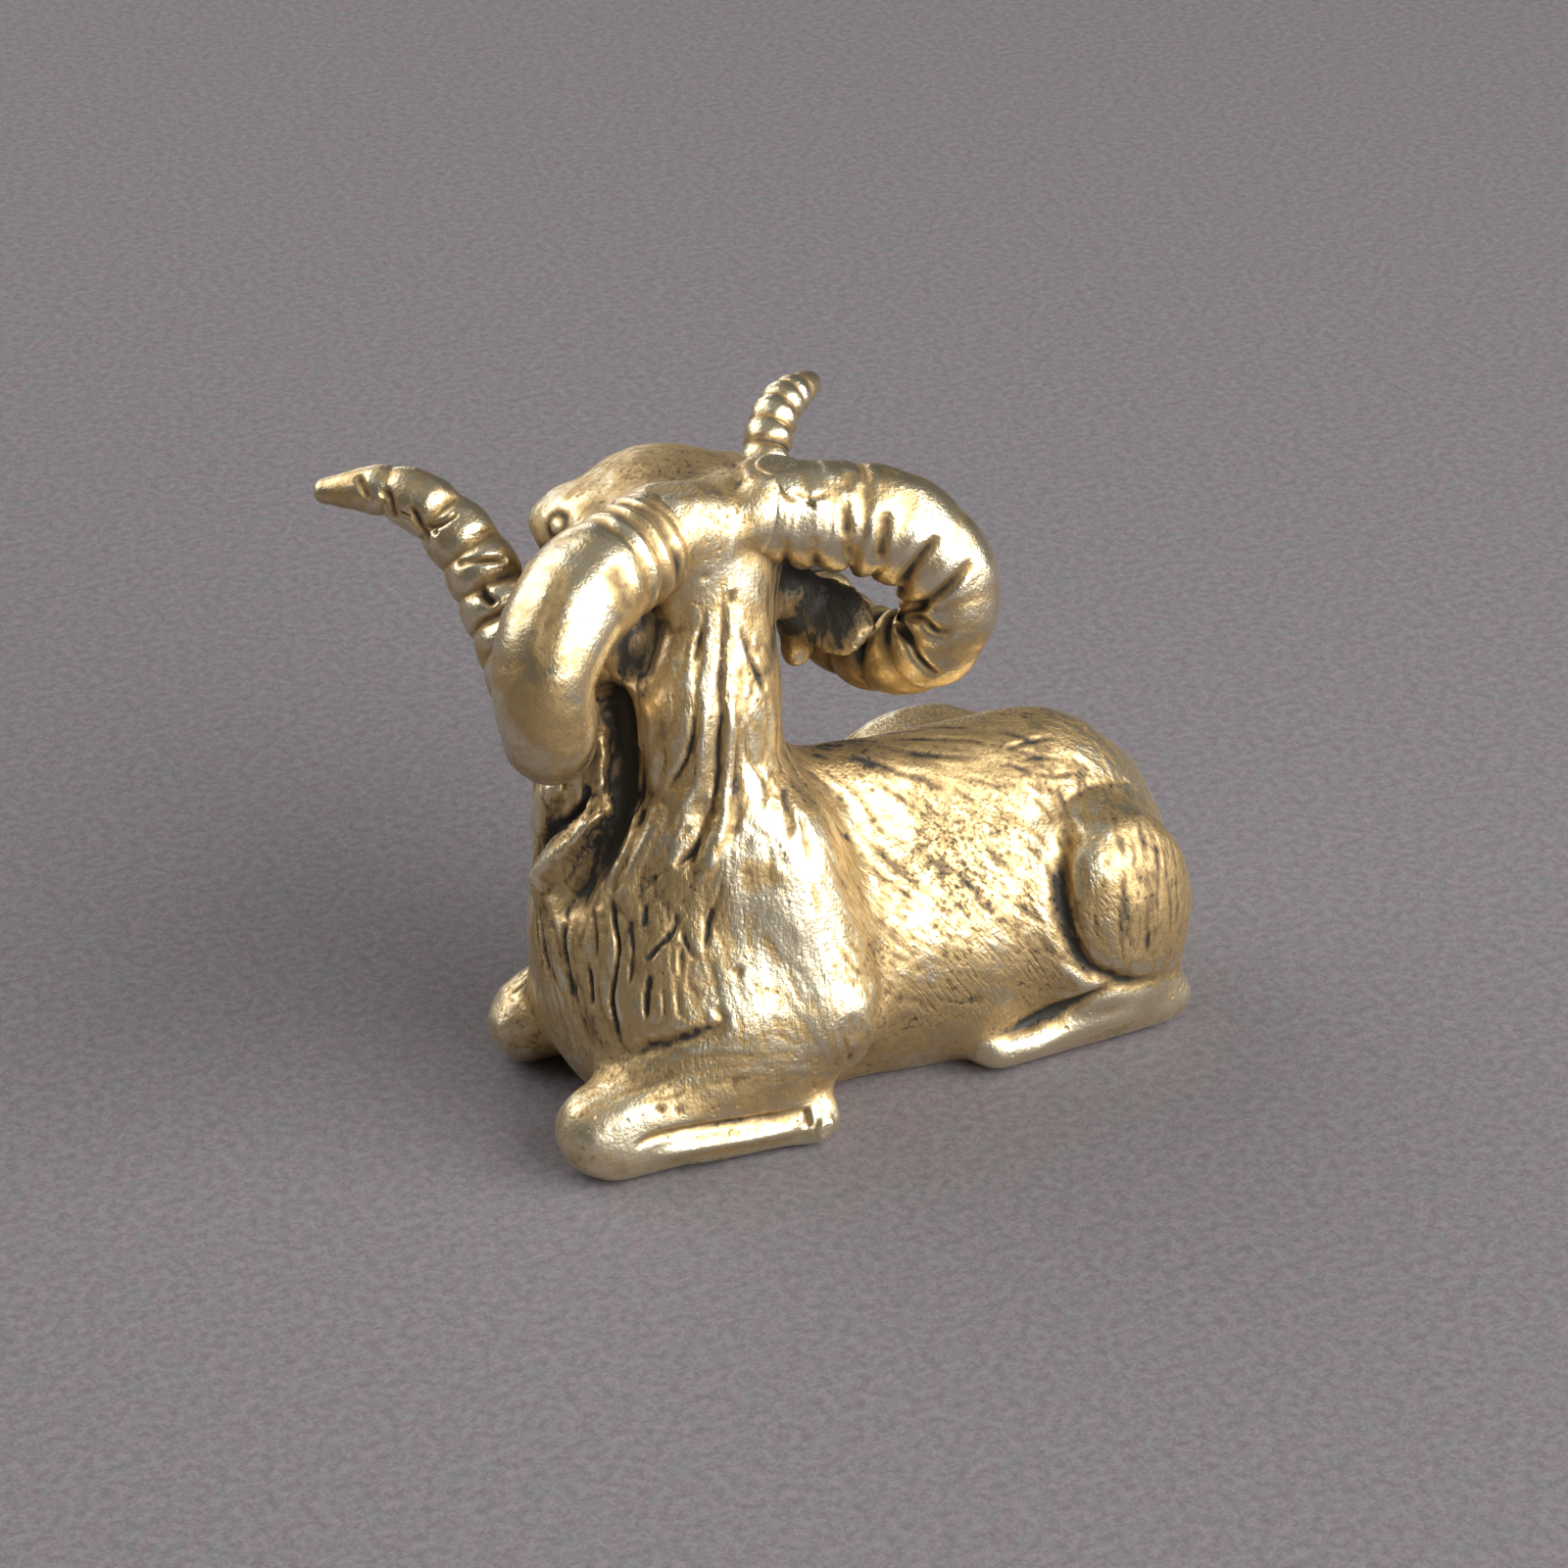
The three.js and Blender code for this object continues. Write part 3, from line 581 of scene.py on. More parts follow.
# Where the legs end upwards and begin sideways and forwards, and where the head begins
LEG_TOP, LEG_SIDE, LEG_FRONT, HEAD_FOOT = (3, 5), (5, 7), (13, 15), (26, 29)
# Depths of locks, their fine hair, the short hair of body and head, and unevenness
LOCK, LOCK_HAIR, SHORT_HAIR, HEAD_HAIR, UNEVEN, ROUGH = 0.07, 0.025, 0.045, 0.015, 0.03, 0.012


def ramp(values, low, high):
    """Runs smoothly from 0 at low to 1 at high."""
    t = np.clip((values - low) / (high - low), 0, 1)
    return t * t * (3 - 2 * t)


def at_head(side, spread, y, drop):
    """A place by its spread from the middle of the head, its y and its drop from the poll."""
    return np.array([HEAD_X + side * spread, y, POLL - drop])


def in_view(pixel, distance):
    """The place behind a point of the picture at that distance from the camera."""
    return EYE + sight(*pixel) * distance


def ear():
    """The right ear, which stands out in front of the return of the horn."""
    left, right = (in_view(*end) for end in EAR)
    middle, along = (left + right) / 2, (right - left) / 2
    high = EAR_HIGH * unit(np.cross(along, sight(*EAR_MIDDLE)))
    thick = EAR_THICK * unit(np.cross(along, high))
    bm = bmesh.new()
    bmesh.ops.create_icosphere(bm, subdivisions=4, radius=1)
    for vertex in bm.verts:
        x, y, z = vertex.co
        rough = 1 + 0.1 * noise(np.array([[x, y, z]]), 0.5, 4)[0]
        vertex.co = middle + rough * (EAR_LONGER * x * along + y * high + z * thick)
    tip = Matrix.Translation(in_view(*EAR_TIP))
    bmesh.ops.create_icosphere(bm, subdivisions=3, radius=EAR_TIP_RADIUS, matrix=tip)
    bmesh.ops.recalc_face_normals(bm, faces=bm.faces)
    return mesh_of(bm, "ear")


def lead_onto_horn(body, side):
    """Leads the skin of the head onto a horn and from there on below the skin of the horn."""
    line = horn_frame(side, PLUG_ROWS, 8)[0]
    way = unit(line[1] - line[0])
    place = body.v - line[0]
    along = place @ way
    out = place - along[:, None] * way
    gap = np.maximum(np.linalg.norm(out, axis=1), 1e-6)
    wanted = TAPER[0] + LEAD_RISE - LEAD_SINK * ramp(along, *LEAD_SINKS_AT)
    share = ramp(along, *LEAD_FROM) * (1 - ramp(along, *LEAD_TO))
    share *= ramp(gap, *LEAD_INNER) * (1 - ramp(gap - TAPER[0], *LEAD_OUTER))
    body.v = body.v + out * (share * (wanted - gap) / gap)[:, None]
    body.refresh()


def soften_head(body):
    """Takes the creases out of the skin where it has to run on softly."""
    soft = body.softened(body.v, SOFT_ROUNDS)
    for place, reach in SOFT:
        gap = np.linalg.norm(body.v - np.array(place), axis=1)
        near = 1 - ramp(gap, reach, reach + SOFT_FADE)
        body.v = body.v + near[:, None] * (soft - body.v)


def keep_above_floor(body):
    """The goat rests flat on its underside."""
    body.v[:, 2] = np.maximum(body.v[:, 2], 0)
    body.refresh()


def shown_faces(mesh):
    """Faces that need a fine skin: those in view and the face of the goat."""
    centres, normals = read(mesh.polygons, "center"), read(mesh.polygons, "normal")
    seen = np.sum(normals * unit(EYE - centres), axis=1) > SEEN
    x, y, z = centres.T
    face = (y < FACE_Y) & (z > FACE_Z)
    plain = (x < RUMP_X) & (z < RUMP_Z)
    return (seen | face) & ~plain


def pinned(tree, strokes):
    """The strokes of a table, with their paths laid on the skin."""
    return [(on_skin(tree, path), width, depth) for depth, width, path in strokes]


def bare_body():
    """The smooth skin round body, ear and the seats of the horns, before any stroke."""
    parts = [copy_of("body_casting"), plug(LEFT_SIDE), plug(RIGHT_SIDE), ear()]
    body = Clay(revoxelled(parts, BODY_CELL))
    body.smooth(BODY_ROUNDS)
    soften_head(body)
    lead_onto_horn(body, RIGHT_SIDE)
    keep_above_floor(body)
    body = Clay(refined(body.mesh, shown_faces(body.mesh)))
    body.smooth(FINE_ROUNDS)
    keep_above_floor(body)
    return body


def shape_body():
    """The body with its locks, face and hair. Returns it with its cuts, hair, and the darkening and
    lightening of its colour: dirt, painted shade and painted highlights.
    """
    body = bare_body()
    tree = body.tree()
    dirt_shade_sheen = laid(body, pinned(tree, DIRT_SHADE_AND_SHEEN))
    for pixel, radius, rise in SWELLINGS:
        gap = np.linalg.norm(body.v - on_skin(tree, [pixel])[0], axis=1) / radius
        body.push(rise * np.exp(-1.4 * gap**2))
    body.refresh()
    carve(body, pinned(tree, FORMS))
    way = lie_of_hair(body, tree)
    dirt_shade_sheen = dirt_shade_sheen + shape_face(body)
    cuts = carve(body, pinned(tree, GROOVES))
    tree = body.tree()
    cuts = np.maximum(cuts, carve(body, strands(body, tree, way)))
    hair, grooved = comb(body, way)
    keep_above_floor(body)
    return body, cuts + grooved, hair, dirt_shade_sheen


def strands(body, tree, way):
    """Strokes that follow the hair where the picture shows none."""
    found = []
    to_eye = EYE - body.v
    hidden = ~(np.sum(to_eye * body.n, axis=1) > 0)
    x, y, z = body.v.T
    mane = (x > STRAND_X) & (z > STRAND_LOW) & (z < STRAND_HIGH) & hidden & (y < STRAND_Y)
    mane &= ~((y < MUZZLE_Y) & (z > MUZZLE_Z))
    kd = KDTree(len(body.v))
    for i, place in enumerate(body.v):
        kd.insert(place, i)
    kd.balance()
    for start in RNG.choice(np.flatnonzero(mane), STRANDS, replace=False):
        place, path = body.v[start], []
        for _ in range(int(RNG.integers(*STRAND_STEPS))):
            path.append(place)
            index = kd.find(place)[1]
            side = np.cross(way[index], body.n[index]) * RNG.normal(0, STRAND_WANDER)
            place = np.array(tree.find_nearest(place + (way[index] + side) * STRAND_STEP)[0])
        found.append((np.array(path), RNG.uniform(*STRAND_WIDTH), RNG.uniform(*STRAND_DEPTH)))
    return found


def dab(body, place, radius, depth):
    """A round hollow, or with a negative depth a bump, at both sides of the head."""
    amount = np.zeros(len(body.v))
    for side in SIDES:
        gap = np.linalg.norm(body.v - at_head(side, *place), axis=1) / radius
        amount += depth * np.exp(-(gap**2) * 1.4)
    body.push(-amount)
    body.refresh()


def mirrored_paths(tree, path):
    """A path given by spread, y and drop, laid on the skin at both sides of the head."""
    for side in SIDES:
        points = [at_head(side, *point) for point in path]
        yield np.array([tree.find_nearest(Vector(point))[0] for point in points])


def shape_face(body):
    """Mouth, nostrils and eyes. Returns how much darker the colour is round the eyes."""
    tree = body.tree()
    for depth, width, path in FACE_LINES:
        carve(body, [(skin, width, depth) for skin in mirrored_paths(tree, path)])
    for place, radius, depth in FACE_DABS:
        dab(body, place, radius, depth)
    for pixel, radius, depth in EYE_DABS:
        x, y, z = on_skin(tree, [pixel])[0]
        eye = (x - HEAD_X, y, POLL - z)
        dab(body, eye, radius, depth)
    dark_share = np.zeros(len(body.v))
    for side in SIDES:
        rim = np.linalg.norm(body.v - at_head(side, *eye), axis=1) - EYE_RIM
        dark_share += EYE_RIM_DARK * np.exp(-((rim / EYE_RIM_WIDTH) ** 2))
    return dark_share


def lie_of_hair(body, tree):
    """Unit way of the hair at every point of the skin."""
    places, ways = [], []
    for path in LIE:
        dense = curved(on_skin(tree, path), 1.5)
        steps = np.gradient(dense, axis=0)
        places.extend(dense)
        ways.extend(unit(steps))
    for place, way in FAR_LIE:
        places.append(place)
        ways.append(unit(np.array(way)))
    total = np.zeros_like(body.v)
    for place, way in zip(np.array(places), np.array(ways)):
        gap2 = np.sum((body.v - place) ** 2, axis=1)
        total += way * (1 / (gap2 + 1) ** 2)[:, None]
    total -= body.n * np.sum(total * body.n, axis=1)[:, None]
    total /= np.linalg.norm(total, axis=1, keepdims=True) + 1e-12
    for _ in range(4):
        total = body.softened(total, 3)
        total /= np.linalg.norm(total, axis=1, keepdims=True) + 1e-12
    return total


def streaks(points, way, size, length, seed):
    """Noise drawn out along the way."""
    steps = np.linspace(-1, 1, 9)
    total = sum(noise(points + way * (step * length / 2), size, seed) for step in steps)
    return total / len(steps) * 2.2


def comb(body, way):
    """Strands of the mane and short hair. Returns how much hair shows and its grooves."""
    x, y, z = body.v.T
    mane = ramp(x, *MANE_FRONT) * ramp(z, *MANE_FOOT) * (1 - ramp(z, *MANE_TOP))
    mane *= 1 - 0.75 * ramp(y, *SHOULDER_Y) * (1 - ramp(z, *SHOULDER_TOP))
    legs = (1 - ramp(z, *LEG_TOP)) * (ramp(np.abs(y), *LEG_SIDE) + ramp(x, *LEG_FRONT))
    legs = np.clip(legs, 0, 1)
    head = ramp(z, *HEAD_FOOT)
    strand = streaks(body.v, way, 0.85, 6, 3)
    groove = 1 - np.clip(np.abs(strand) / 0.28, 0, 1)
    hair = streaks(body.v, way, 0.33, 2.2, 21)
    amount = -LOCK * mane * groove**1.3
    amount += mane * LOCK_HAIR * streaks(body.v, way, 0.3, 3, 9)
    short = (1 - mane) * (1 - legs) * (1 - 0.8 * head)
    amount += (SHORT_HAIR * short + HEAD_HAIR * head) * hair
    amount += UNEVEN * noise(body.v, 2.4, 31) + ROUGH * noise(body.v, 0.5, 41)
    body.push(amount * ramp(z, 0.1, 0.7))
    body.refresh()
    shown = np.clip(0.25 + 0.75 * short + 0.35 * mane, 0, 1) * (1 - 0.8 * legs)
    return shown, 0.26 * shown * ramp(-hair, 0.0, 0.8) + 0.15 * mane * groove


# Horns. The numbers are those of the solid: spread, y and drop of the middle line.
HORN_LINE = [
    (3.8, -0.5, 2.2), (9.2, 1.5, 3.5), (11.5, 2.9, 6.2), (11.2, 2.7, 9.4), (9.9, 0.2, 11.3),
    (8.6, -4, 11.1), (8.2, -8.2, 8.9), (8.9, -11.6, 5.5), (11, -14.2, 3.5), (14.8, -17, 3.55),
]
CURL = (9, -2, 6.8)
TAPER_AT = [0, 0.12, 0.26, 0.42, 0.6, 0.76, 0.9, 1]
TAPER = [2.7, 2.88, 2.6, 2.15, 2.1, 1.75, 1.3, 0.45]
# The right tip is thinner than the left one
FAR_AT = [0, 0.62, 0.76, 0.88, 0.96, 1]
FAR = [1, 1, 0.76, 0.85, 1.05, 1.1]
# Rows and columns of a horn's skin, the rows that its radius is softened over, how far it
# runs into the head and how it thins out in there, from where on each side
HORN_ROWS, HORN_COLUMNS, SOFT_ROWS = 480, 120, 20
HORN_BACK, HORN_THINNER = 2.6, 1.3
THINNER_FROM = {LEFT_SIDE: 0, RIGHT_SIDE: 1.4}
# Fillings of the horns' seats: rows and columns, length behind and before the seat, radii
PLUG_ROWS, PLUG_COLUMNS = 200, 48
PLUG_BACK, PLUG_FRONT = 2.2, 1.2
PLUG_AT, PLUG_RADII = [-2.2, 0.2, 1.2], [2.85, 2.8, 2.2]
PLUG_LESS = {LEFT_SIDE: 0, RIGHT_SIDE: 0.35}
# Between these places along the horn its worn root ends; from where to where the near horn's
# root turns plain outside, and where the rings begin to slant
ROOT_END, PLAIN_FROM, SLANT_FROM = (13, 16), (3.8, 5.2), (6, 9)
# The bare swelling behind the near horn's root rings
SWELLING_FROM, SWELLING_TO, SWELLING_RISE = (3.6, 5.5), (7.5, 10), 0.12
# Length of a horn's rounded tip, and the least radius there
TIP_LENGTH, TIP_RADIUS = 0.5, 0.004
# Slant of the rings, their bulge and its growth towards the tip, and the height of the growth
# lines, outside and inside the curl
RING_SLANT, BULGE, LATE_BULGE = 0.35, 0.1, 0.1
GROWTH, ROOT_GROWTH, GROWTH_STEP = 0.01, 0.04, 0.2
# Unevenness: height and size of its lumps, for the rings' places and for the skin
WAVES = [(0.16, 3.2), (0.09, 1.1)]
SKIN_LUMPS, SKIN_GRAINS = 1.9, 0.6
SEEDS = {LEFT_SIDE: 12, RIGHT_SIDE: 10}
# Grooves between the rings: place along the horn, depth inside the curl, depth outside, width
RINGS = {
    LEFT_SIDE: [
        (0, 0.1, 0.08, 0.3), (0.9, 0.15, 0.13, 0.32), (1.9, 0.15, 0.12, 0.34),
        (3, 0.2, 0.1, 0.36), (6.1, 0.4, 0, 0.4), (8.3, 0.4, 0, 0.4), (10.6, 0.45, 0, 0.4),
        (12.9, 0.45, 0.02, 0.4), (15.1, 0.5, 0.048, 0.4), (17.2, 0.45, 0.06, 0.4),
        (19.4, 0.4, 0.06, 0.38), (21.5, 0.4, 0.07, 0.36), (23.6, 0.4, 0.08, 0.35),
        (25.6, 0.4, 0.1, 0.34), (27.7, 0.3, 0.12, 0.32), (29.9, 0.2, 0.05, 0.3),
        (32.4, 0.2, 0.03, 0.3), (35.4, 0.1, 0.02, 0.28),
    ],
    RIGHT_SIDE: [
        (0.4, 0.25, 0, 0.35), (1.9, 0.35, 0, 0.36), (3.5, 0.42, 0.11, 0.4),
        (5.5, 0.42, 0.05, 0.42), (8, 0.45, 0.06, 0.45), (10.6, 0.45, 0.04, 0.45),
        (12.9, 0.45, 0.05, 0.45), (15, 0.42, 0.06, 0.4), (17.1, 0.45, 0.084, 0.38),
        (19.2, 0.4, 0.084, 0.36), (21.3, 0.4, 0.084, 0.36), (23.4, 0.4, 0.084, 0.34),
        (25.5, 0.36, 0.1, 0.32), (27.4, 0.3, 0.12, 0.3), (29.1, 0.26, 0.13, 0.27),
        (30.6, 0.24, 0.14, 0.25), (32, 0.22, 0.14, 0.24), (33.4, 0.2, 0.13, 0.23),
        (34.8, 0.18, 0.11, 0.22), (36.1, 0.15, 0.09, 0.2), (37.4, 0.1, 0.06, 0.2),
    ],
}


def centripetal(points, count):
    """Evenly spaced points of the centripetal spline through the given ones."""
    p = np.array(points, float)
    p = np.vstack([2 * p[0] - p[1], p, 2 * p[-1] - p[-2]])
    dense = []
    for a, b, c, d in zip(p, p[1:], p[2:], p[3:]):
        k0, k1, k2 = (np.linalg.norm(q) ** 0.5 for q in (b - a, c - b, d - c))
        m1 = ((b - a) / k0 - (c - a) / (k0 + k1) + (c - b) / k1) * k1
        m2 = ((c - b) / k1 - (d - b) / (k1 + k2) + (d - c) / k2) * k1
        t = np.linspace(0, 1, 60, endpoint=False)[:, None]
        dense.append(
            b + m1 * t + (3 * (c - b) - 2 * m1 - m2) * t**2 + (2 * (b - c) + m1 + m2) * t**3
        )
    dense = np.vstack([*dense, p[-2]])
    length = np.concatenate([[0], np.cumsum(np.linalg.norm(np.diff(dense, axis=0), axis=1))])
    wanted = np.linspace(0, length[-1], count)
    return np.array([np.interp(wanted, length, dense[:, i]) for i in range(3)]).T, length[-1]


def horn_line(side, rows, back):
    """Middle line of a horn, its tangents, places along it and its length from the seat."""
    line, total = centripetal([at_head(side, *point) for point in HORN_LINE], rows)
    step = total / (rows - 1)
    tangent = unit(np.gradient(line, axis=0))
    extra = np.arange(-int(back / step), 0)[:, None]
    line = np.vstack([line[0] + extra * step * tangent[0], line])
    tangent = np.vstack([np.repeat(tangent[:1], len(extra), axis=0), tangent])
    along = (np.arange(len(line)) - len(extra)) * step
    return line, tangent, along, total


def horn_frame(side, rows, columns, back=0.0):
    """Middle line, outward ways, place along and inwardness of a grid round one horn."""
    line, tangent, along, total = horn_line(side, rows, back)
    inner = unit(at_head(side, *CURL) - line)
    across = np.cross(tangent[0], inner[0])
    first = []
    for t in tangent:
        across = unit(across - t * (across @ t))
        first.append(across)
    first = np.array(first)
    second = np.cross(tangent, first)
    angle = np.linspace(0, 2 * np.pi, columns, endpoint=False)
    out = (
        first[:, None] * np.cos(angle)[None, :, None]
        + second[:, None] * np.sin(angle)[None, :, None]
    )
    inward = np.sum(out * inner[:, None], axis=2)
    return line, out, along, inward, total


def tube(line, place):
    """A closed skin over the rings of points: a grid, rolled up, joined and then bent."""
    rows, columns = place.shape[:2]
    bm = bmesh.new()
    bmesh.ops.create_grid(
        bm, x_segments=columns, y_segments=rows - 1, size=0.5,
        matrix=Matrix.Diagonal((columns, rows - 1, 1, 1)),
    )
    for vertex in bm.verts:
        turn = 2 * math.pi * (vertex.co.x / columns + 0.5)
        vertex.co = math.cos(turn), math.sin(turn), vertex.co.y + (rows - 1) / 2
    seam = [vertex for vertex in bm.verts if vertex.is_boundary]
    bmesh.ops.remove_doubles(bm, verts=seam, dist=1e-3)
    rims = [edge for edge in bm.edges if edge.is_boundary]
    ends = bmesh.ops.holes_fill(bm, edges=rims, sides=0)["faces"]
    bmesh.ops.poke(bm, faces=ends)

    def number(vertex):
        """Row by row round the tube, and then the middles of both ends."""
        x, y, row = vertex.co
        if math.hypot(x, y) < 0.5:
            return rows * columns + (row > 0.5)
        turns = math.atan2(y, x) / (2 * math.pi)
        return round(row) * columns + round(turns * columns) % columns

    bm.verts.sort(key=number)
    points = np.vstack([place.reshape(-1, 3), line[0], line[-1]])
    for vertex, point in zip(bm.verts, points):
        vertex.co = point
    bmesh.ops.recalc_face_normals(bm, faces=bm.faces)
    return mesh_of(bm, "tube")


def plug(side):
    """Fills the seat of a horn in the head."""
    line, out, along, _, _ = horn_frame(side, PLUG_ROWS, PLUG_COLUMNS, PLUG_BACK)
    kept = along < PLUG_FRONT
    radius = np.interp(along, PLUG_AT, PLUG_RADII) - PLUG_LESS[side]
    place = line[:, None] + out * radius[:, None, None]
    return tube(line[kept], place[kept])


def horn_radius(side, along, total):
    """Radius along a horn, without its rings."""
    share = np.clip(along / total, 0, 1)
    sunk = HORN_THINNER * ramp(-along, THINNER_FROM[side], 2.8)
    radius = np.interp(share, TAPER_AT, TAPER) - sunk
    if side == RIGHT_SIDE:
        radius = radius * np.interp(share, FAR_AT, FAR)
    padded = np.pad(radius, SOFT_ROWS, mode="edge")
    softened = np.convolve(padded, np.ones(SOFT_ROWS) / SOFT_ROWS, "same")
    return softened[SOFT_ROWS:-SOFT_ROWS]


def ring_grooves(side, place, s, inside, seed):
    """Relief of the grooves between the rings, and the distance from the nearest one."""
    rng = np.random.default_rng(seed)
    relief = np.zeros_like(s)
    nearest = np.full_like(s, 9.0)
    for at, deep_in, deep_out, wide in RINGS[side]:
        strength = rng.uniform(0.85, 1.15)
        gap = np.abs(s - at)
        deep = deep_out + (deep_in - deep_out) * inside
        spread = wide * (0.95 + 0.3 * inside)
        uneven = 1 + (0.45 if at > 4 else 0.9) * noise(place, 1.3, int(at * 10) + seed)
        relief -= strength * uneven * deep * np.exp(-((gap / spread) ** 2))
        nearest = np.minimum(nearest, gap)
    return relief, nearest


def horn_relief(side, place, along, inward, total, seed):
    """How far the skin of a horn stands out or in: rings, growth lines and unevenness."""
    inside = ramp(inward, -0.15, 0.9)
    root = 1 - ramp(along, *ROOT_END)
    wave = sum(high * noise(place, size, seed + i) for i, (high, size) in enumerate(WAVES))
    slant = RING_SLANT * inward * ramp(along, *SLANT_FROM)[:, None] * root[:, None]
    s = along[:, None] + wave - slant
    relief, nearest = ring_grooves(side, place, s, inside, seed)
    late = ramp(along / total, 0.62, 0.85)[:, None]
    plain, flatter = root, 0.5
    if side == LEFT_SIDE:
        plain, flatter = root * ramp(along, *PLAIN_FROM), 0.9
    bulge = (BULGE + LATE_BULGE * late) * (1 - flatter * plain[:, None] * (1 - inside))
    relief += bulge * np.clip(nearest / 0.9, 0, 1) ** 0.7
    if side == LEFT_SIDE:
        swelling = ramp(along, *SWELLING_FROM) * (1 - ramp(along, *SWELLING_TO))
        relief += SWELLING_RISE * swelling[:, None]
    around = np.cos(np.linspace(0, 6.28, s.shape[1])) * 2 + 0 * s
    growth = noise(np.dstack([s / GROWTH_STEP, around, 0 * s]), 1, seed + 3)
    base = inside * (1 - ramp(along, 3, 5))[:, None]
    relief += (GROWTH * (1 - inside) + ROOT_GROWTH * base) * growth
    relief += (0.05 + 0.05 * plain)[:, None] * noise(place, SKIN_LUMPS, seed + 5)
    relief += (0.012 + 0.03 * late) * noise(place, SKIN_GRAINS, seed + 6)
    return relief


def shape_horn(side):
    """One horn. Returns it with its depths, as dirt gathers in them, and its dirt, painted shade,
    painted reflection and painted highlights.
    """
    line, out, along, inward, total = horn_frame(side, HORN_ROWS, HORN_COLUMNS, HORN_BACK)
    radius = horn_radius(side, along, total)
    place = line[:, None] + out * radius[:, None, None]
    relief = horn_relief(side, place, along, inward, total, SEEDS[side])
    tip = np.clip((total - along) / TIP_LENGTH, 0, 1)
    rounded = np.sqrt(np.maximum(1 - (1 - tip) ** 2, 0))
    thin = np.clip(radius / 1.5, 0.35, 1)
    skin = (radius[:, None] + relief * thin[:, None]) * rounded[:, None]
    place = line[:, None] + out * np.maximum(skin, TIP_RADIUS)[..., None]
    horn = Clay(tube(line, place))
    tree = horn.tree()
    depth = np.concatenate([(-relief).ravel(), [0, 0]])
    depth = np.maximum(depth, carve(horn, pinned(tree, HORN_MARKS[side])))
    return horn, depth, laid(horn, pinned(tree, HORN_DIRT_SHADE_AND_SHEEN[side]))


# How far inside the solids' box a piece ends, in metres
HORN_INSET, BODY_INSET = 2e-5, 9e-5
CASTINGS = ("body_casting", "left_horn", "right_horn")


def to_object(name, body, attributes, node, inset):
    """The finished shape as a piece of the scene, in metres."""
    low, high = (np.array(corner) for corner in (cad_low, cad_high))
    place = np.clip(body.v * MM, low + [inset, inset, 0], high - inset)
    body.mesh.vertices.foreach_set("co", place.ravel())
    for key, values in attributes.items():
        layer = body.mesh.attributes.new(key, "FLOAT", "POINT")
        layer.data.foreach_set("value", values.astype(np.float32))
    body.mesh.polygons.foreach_set("use_smooth", np.ones(len(body.mesh.polygons), bool))
    body.mesh.update()
    made = bpy.data.objects.new(name, body.mesh)
    SCENE.collection.objects.link(made)
    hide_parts(node)
    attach(made, "root")
    return made


def slope_of(body):
    """Where the hair lies slantwise, as on the flanks and the back, and not straight down."""
    x, y, z = body.v.T
    flank = ramp(6 - x + 0.25 * (z - 8), 0, 3) * ramp(x + 0.35 * (z - 7), -11.5, -9)
    back = ramp(z, 12.5, 14.5) * ramp(6 - x, 0, 2)
    return np.clip(np.maximum(flank, back) * (1 - ramp(z, 19, 22)), 0, 1)


def hollows(body):
    """How far each point lies below the skin around it, at three sizes, in millimetres."""
    found = []
    place = body.v
    for rounds in (2, 8, 40):
        soft = body.softened(place, rounds)
        found.append(np.sum((soft - body.v) * body.n, axis=1))
        place = soft
    return found


def solids_tree():
    """The solids of all castings, to see what covers a place, for painted shade."""
    bm = bmesh.new()
    for node in CASTINGS:
        bm.from_mesh(copy_of(node))
    tree = BVHTree.FromBMesh(bm)
    bm.free()
    return tree


# Rays that find how much other metal covers a point, for painted shade: from one point in how
# many, how many, how long, how far above the skin they start, how far they turn from one to the
# next, and a way that no normal lies along
ONE_IN, RAYS, RAY_REACH, RAY_START, RAY_TURN = 7, 22, 7.0, 0.35, 2.4
SLANT = (0.3, 0.5, 0.81)
OCCLUSION_SHADE_ROUNDS = 30


def occlusion_shade(body, solids):
    """How much of the view from each point other metal covers, from 0 to 1, to paint shade there.
    """
    rng = np.random.default_rng(2)
    up = rng.random(RAYS)
    turn = np.arange(RAYS) * RAY_TURN
    flat = np.sqrt(1 - up)
    fan = np.stack([flat * np.cos(turn), flat * np.sin(turn), np.sqrt(up)], axis=1)
    known = np.zeros(len(body.v))
    value = np.zeros(len(body.v))
    for i in range(0, len(body.v), ONE_IN):
        normal = body.n[i]
        side = unit(np.cross(normal, SLANT))
        basis = np.array([side, np.cross(normal, side), normal])
        start = Vector(body.v[i] + normal * RAY_START)
        hits = [solids.ray_cast(start, Vector(ray), RAY_REACH)[0] for ray in fan @ basis]
        known[i], value[i] = 1, sum(hit is not None for hit in hits) / RAYS
    total, weight = (body.softened(part, OCCLUSION_SHADE_ROUNDS) for part in (value, known))
    return total / np.maximum(weight, 1e-6)


def patina_shade_sheen_of(body, cut, dirt_and_painted_light, solids):
    """Darkness of the colour, from 0 where the metal is rubbed bright to 1 where it is black:
    patina in hollows and cuts, painted shade where other metal covers a point, and the given dirt,
    painted shade and painted highlights.
    """
    fine, middle, wide = hollows(body)
    value = 2.2 * fine + 2.2 * middle + 0.7 * wide + 1.7 * np.clip(cut, 0, 0.35)
    # painted shade where other metal covers a point, and the given dirt, painted shade and painted
    # highlights
    value += 0.55 * np.clip(occlusion_shade(body, solids) - 0.15, 0, 1) + dirt_and_painted_light
    return np.clip(0.14 + value, -0.3, 1.2)


